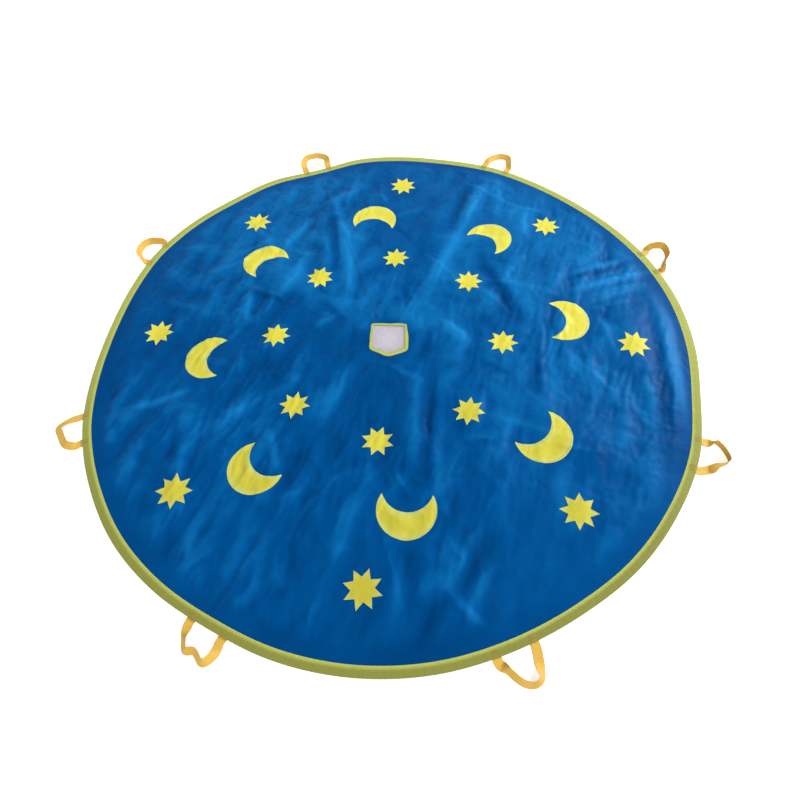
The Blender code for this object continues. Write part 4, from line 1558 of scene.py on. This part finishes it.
@dataclass
class Handles:
    """Eight webbing handles, each one strap with two sewn-down ends and a free loop."""

    layout: Layout
    cloth: LaidCloth
    width: float = 0.025
    thickness: float = 0.0014
    end_length: float = 0.028
    step: float = 0.0016
    bend_length: float = 0.014
    knot_steps: int = 60
    smoothing: int = 9
    profile_shares: tuple[float, ...] = (-1.0, -0.97, -0.88, -0.6, -0.2, 0.2, 0.6, 0.88, 0.97, 1.0)
    profile_depths: tuple[float, ...] = (0.25, 0.75, 1.0, 0.86, 0.82, 0.82, 0.86, 1.0, 0.75, 0.25)
    tack_depths: tuple[float, ...] = (0.0060, 0.0100, 0.0140, 0.0180)
    tack_points: int = 19
    tack_half: float = 0.0105
    tack_swing: float = 0.0011
    tack_radius: float = 0.0006
    tack_lift: float = 0.0004
    paths: tuple[LoopPath, ...] = (
        LoopPath(((-38, 40), (-31, 62), (-9, 68), (16, 53), (38, 18)), (22, 66), (4, 26), 0.60),
        LoopPath(((-57, 20), (-42, 46), (-12, 66), (10, 50), (28, 30), (44, 8)), (4, 26), (28, 62), 0.94),
        LoopPath(((-62, 14), (-62, 48), (-46, 70), (-6, 60), (22, 28), (46, 6)), (14, 46), (4, 24), -0.80),
        LoopPath(((-40, 34), (-14, 66), (22, 72), (40, 40), (50, 10)), (6, 34), (4, 26), -0.32),
        LoopPath(((-47, 30), (-27, 68), (19, 70), (53, 40)), (6, 30), (6, 34), -0.30),
        LoopPath(((-43, 34), (-24, 60), (9, 72), (43, 58), (60, 12)), (6, 30), (4, 20), -0.62),
        LoopPath(((-52, 15), (-36, 42), (5, 56), (32, 60), (46, 28)), (4, 26), (10, 44), 0.22),
        LoopPath(((-50, 8), (-54, 30), (-38, 54), (-6, 42), (18, 50), (40, 22)), (6, 30), (6, 34), 0.48),
    )

    def centre_line(self, path: LoopPath, root: float) -> np.ndarray:
        """Run a smooth line through a loop's points and both sewn ends.

        Between two points it is the cubic whose slopes are half the step between their neighbours. It is
        then walked in equal steps.

        Args:
            path: The loop's points and turns.
            root: How far inwards of the hinge line the sewn ends reach.

        Returns:
            Points in the loop's plane, in metres.
        """
        half, tail = self.layout.handle_span / 2.0, -root
        bow = [(px / 1000.0, py / 1000.0) for px, py in path.points]
        ends = (tail, tail / 2, 0.0)
        knots = np.array([*((-half, out) for out in ends), *bow, *((half, out) for out in ends[::-1])])
        slope = np.gradient(knots, axis=0)
        share = np.linspace(0.0, 1.0, self.knot_steps, endpoint=False)[None, :, None]
        p0, p1, m0, m1 = knots[:-1, None], knots[1:, None], slope[:-1, None], slope[1:, None]
        curve = (2 * share**3 - 3 * share**2 + 1) * p0 + (share**3 - 2 * share**2 + share) * m0
        curve += (3 * share**2 - 2 * share**3) * p1 + (share**3 - share**2) * m1
        dense, gone = measured(np.concatenate([curve.reshape(-1, 2), knots[-1:]]), closed=False)
        return walked(dense, gone, np.linspace(0.0, gone[-1], int(gone[-1] / self.step)))

    def sections(self, path: LoopPath, root: float) -> tuple[np.ndarray, np.ndarray]:
        """Carry the webbing's rounded profile along its line, flat at the ends and on edge in the bow.

        Args:
            path: The loop's points and turns.
            root: How far inwards of the hinge line the sewn ends reach.

        Returns:
            Sections in the loop's frame, x clockwise, y outwards, z up from the floor, and the pattern
            coordinates with the first profile point repeated.
        """
        line = self.centre_line(path, root)
        kernel = np.hanning(self.smoothing) / np.hanning(self.smoothing).sum()
        padded = np.pad(unit(np.gradient(line, axis=0)), ((self.smoothing // 2, self.smoothing // 2), (0, 0)), "edge")
        run = unit(np.stack([np.convolve(padded[:, axis], kernel, "valid") for axis in (0, 1)], axis=-1))
        gone = np.arange(len(line)) * self.step
        left = smooth_step((gone - root) * 1000.0, *path.left_turn)
        right = smooth_step((gone[-1] - gone - root) * 1000.0, *path.right_turn)
        stand = (np.minimum(left, right) * path.upright * QUARTER)[:, None]
        zero = np.zeros(len(line))
        outward, ahead = np.stack([-run[:, 1], run[:, 0], zero], axis=-1), np.stack([*run.T, zero], axis=-1)
        face = -np.cos(stand) * DOWN + np.sin(stand) * outward
        wide = np.cross(face, ahead)
        share, thick = np.array(self.profile_shares), np.array(self.profile_depths)
        across = np.concatenate([share, share[::-1]]) * self.width / 2.0
        above = np.concatenate([thick, -thick[::-1]]) * self.thickness / 2.0
        offsets = wide[:, None] * across[None, :, None] + face[:, None] * above[None, :, None]
        centre = np.stack([*line.T, -offsets[..., 2].min(axis=1)], axis=-1)
        places = np.stack(np.meshgrid(gone, np.concatenate([across, across[:1]]), indexing="ij"), axis=-1)
        return centre[:, None] + offsets, places

    def build(self, index: int, wardrobe: Wardrobe) -> None:
        """Make one handle's strap and the bar tacks that hold its ends through the binding.

        Where the rim lies further in, the sewn ends reach further in too.

        Args:
            index: Number of the handle, from 0.
            wardrobe: The finishes.
        """
        layout, number, angle = self.layout, index + 1, self.layout.seam(index)
        half = layout.handle_span / 2.0
        hinge = math.sqrt(layout.rim_radius**2 - half**2) + layout.handle_standoff
        root = layout.handle_standoff + self.end_length - float(self.cloth.rim_shift(np.array([angle]))[0])
        sections, places = self.sections(self.paths[index], root)
        plan = beside(angle, hinge + sections[..., 1], -sections[..., 0])
        surface, rows = Surface(), Surface()
        closed_tube(surface, np.concatenate([plan, sections[..., 2:]], axis=-1), places, ring=False)
        piece = surface.finish(f"webbing_handle_{number}", wardrobe.webbing, crisp=75.0)
        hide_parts(f"handle_{number}", f"handle_{number}_end_a", f"handle_{number}_end_b")
        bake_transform(piece)
        thread, binding = Thread(radius=self.tack_radius), RimBinding(layout, self.cloth)
        shift = np.linspace(-self.tack_half, self.tack_half, self.tack_points)
        zigzag = self.tack_swing * (np.arange(self.tack_points) % 2 * 2 - 1)
        for middle in (-half, half):
            for depth in self.tack_depths:
                flat = beside(angle, hinge - layout.handle_standoff - depth + zigzag, -(middle + shift))
                inset = layout.rim_radius - np.hypot(flat[:, 0], flat[:, 1])
                layer = binding.top(inset, np.arctan2(flat[:, 1], flat[:, 0])) + self.tack_lift
                spots = self.cloth.place(flat, layer)
                thread.sew(rows, spots[:-1], spots[1:])
        rows.finish_on_canopy(f"bar_tacks_{number}", wardrobe.webbing_thread)


@dataclass(frozen=True)
class StudioLight:
    """A square soft light that looks at the origin."""

    name: str
    place: Triple
    size: float
    power: float

    def build(self) -> None:
        """Make the lamp."""
        lamp = bpy.data.lights.new(self.name, "AREA")
        lamp.shape, lamp.size, lamp.energy = "SQUARE", self.size, self.power
        stand = show(self.name, lamp)
        stand.location = self.place
        stand.rotation_euler = (-Vector(self.place)).to_track_quat("-Z", "Y").to_euler()


@dataclass(frozen=True)
class Studio:
    """Pale floor, soft light and the camera at the photograph's place."""

    camera_place: Triple = (0.1717, -1.0536, 1.3691)
    camera_target: Triple = (0.0566, -0.2316, 0.0)
    camera_roll: float = -4.779
    lens: float = 23.175
    floor_half: float = 14.0
    ambient: float = 0.24
    lights: tuple[StudioLight, ...] = (
        StudioLight("window_light", (6.6, 4.7, 4.9), 2.6, 980.0),
        StudioLight("fill_light", (-5.3, -4.8, 7.9), 6.0, 270.0),
        StudioLight("front_light", (0.6, -7.0, 3.2), 4.0, 230.0),
    )

    def build_floor(self) -> None:
        """Make a flat pale floor that the camera sees as white, apart from the object's shadow.

        What the camera sees added to the paint grows away from the object, where the lamps reach less.
        """
        mesh = bpy.data.meshes.new("studio_floor")
        half = self.floor_half
        corners = [(-half, -half, 0.0), (half, -half, 0.0), (half, half, 0.0), (-half, half, 0.0)]
        mesh.from_pydata(corners, [], [(0, 1, 2, 3)])
        material = bpy.data.materials.new("painted_studio_floor")
        add = empty_tree(material)
        paint = add("BsdfDiffuse", {"Color": linear("#F2F2F2")})
        away = add("VectorMath", {0: add("TexCoord").outputs["Object"]}, operation="LENGTH")
        level = {"Value": away.outputs["Value"], "From Min": 2.0, "From Max": 7.0, "To Min": 0.62, "To Max": 1.0}
        glow = add("Emission", {"Color": (1.0, 1.0, 1.0, 1.0), "Strength": add("MapRange", level)})
        seen = add("AddShader", {0: paint, 1: glow})
        rays = add("LightPath")
        shader = add("MixShader", {0: rays.outputs["Is Camera Ray"], 1: paint, 2: seen})
        add("OutputMaterial", {"Surface": shader})
        mesh.materials.append(material)
        show("studio_floor", mesh)

    def build_world(self) -> None:
        """Make the room's soft light, which camera, glossy and transmission rays see as white."""
        world = bpy.data.worlds.new("studio_room")
        bpy.context.scene.world = world
        add = empty_tree(world)
        rays = add("LightPath")
        seen = rays.outputs["Is Camera Ray"]
        for kind in ("Is Glossy Ray", "Is Transmission Ray"):
            seen = add("Math", {0: seen, 1: rays.outputs[kind]}, operation="MAXIMUM")
        level = add("MapRange", {"Value": seen, "To Min": self.ambient, "To Max": 1.0})
        sky = add("Background", {"Color": (1.0, 1.0, 1.0, 1.0), "Strength": level})
        add("OutputWorld", {"Surface": sky})

    def build_camera(self) -> None:
        """Make the camera: it looks at the target, turned about its line of sight by the roll."""
        lens = bpy.data.cameras.new("photo_camera")
        lens.lens, lens.sensor_width, lens.clip_start = self.lens, 36.0, 0.02
        camera = show("photo_camera", lens)
        sight = (Vector(self.camera_target) - Vector(self.camera_place)).normalized()
        level = sight.cross(Vector((0.0, 0.0, 1.0))).normalized()
        above = level.cross(sight)
        roll = math.radians(self.camera_roll)
        right = level * math.cos(roll) + above * math.sin(roll)
        up = above * math.cos(roll) - level * math.sin(roll)
        turn = Matrix((right, up, -sight)).transposed()
        camera.matrix_world = Matrix.Translation(Vector(self.camera_place)) @ turn.to_4x4()
        bpy.context.scene.camera = camera

    def build(self) -> None:
        """Make everything that isn't the object."""
        self.build_floor()
        self.build_world()
        for light in self.lights:
            light.build()
        self.build_camera()
        bpy.context.scene.view_settings.view_transform = "Standard"


def main() -> None:
    """Build the parachute in order: gores, figures, binding, vent, handles, then the studio."""
    logging.basicConfig(level=logging.INFO, format="%(name)s %(message)s")
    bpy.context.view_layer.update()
    layout = Layout()
    cloth = LaidCloth(layout)
    wardrobe = Wardrobe()
    gores, figures, handles = Gores(layout, cloth), Figures(layout, cloth), Handles(layout, cloth)
    for index in range(layout.gores):
        gores.build(index, wardrobe)
        figures.build(index, wardrobe)
    RimBinding(layout, cloth).build(wardrobe)
    vent = Vent(layout, cloth)
    vent.build_net(wardrobe)
    vent.build_tape(wardrobe)
    for index in range(layout.gores):
        handles.build(index, wardrobe)
    Studio().build()
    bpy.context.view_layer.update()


if __name__ == "__main__":
    main()
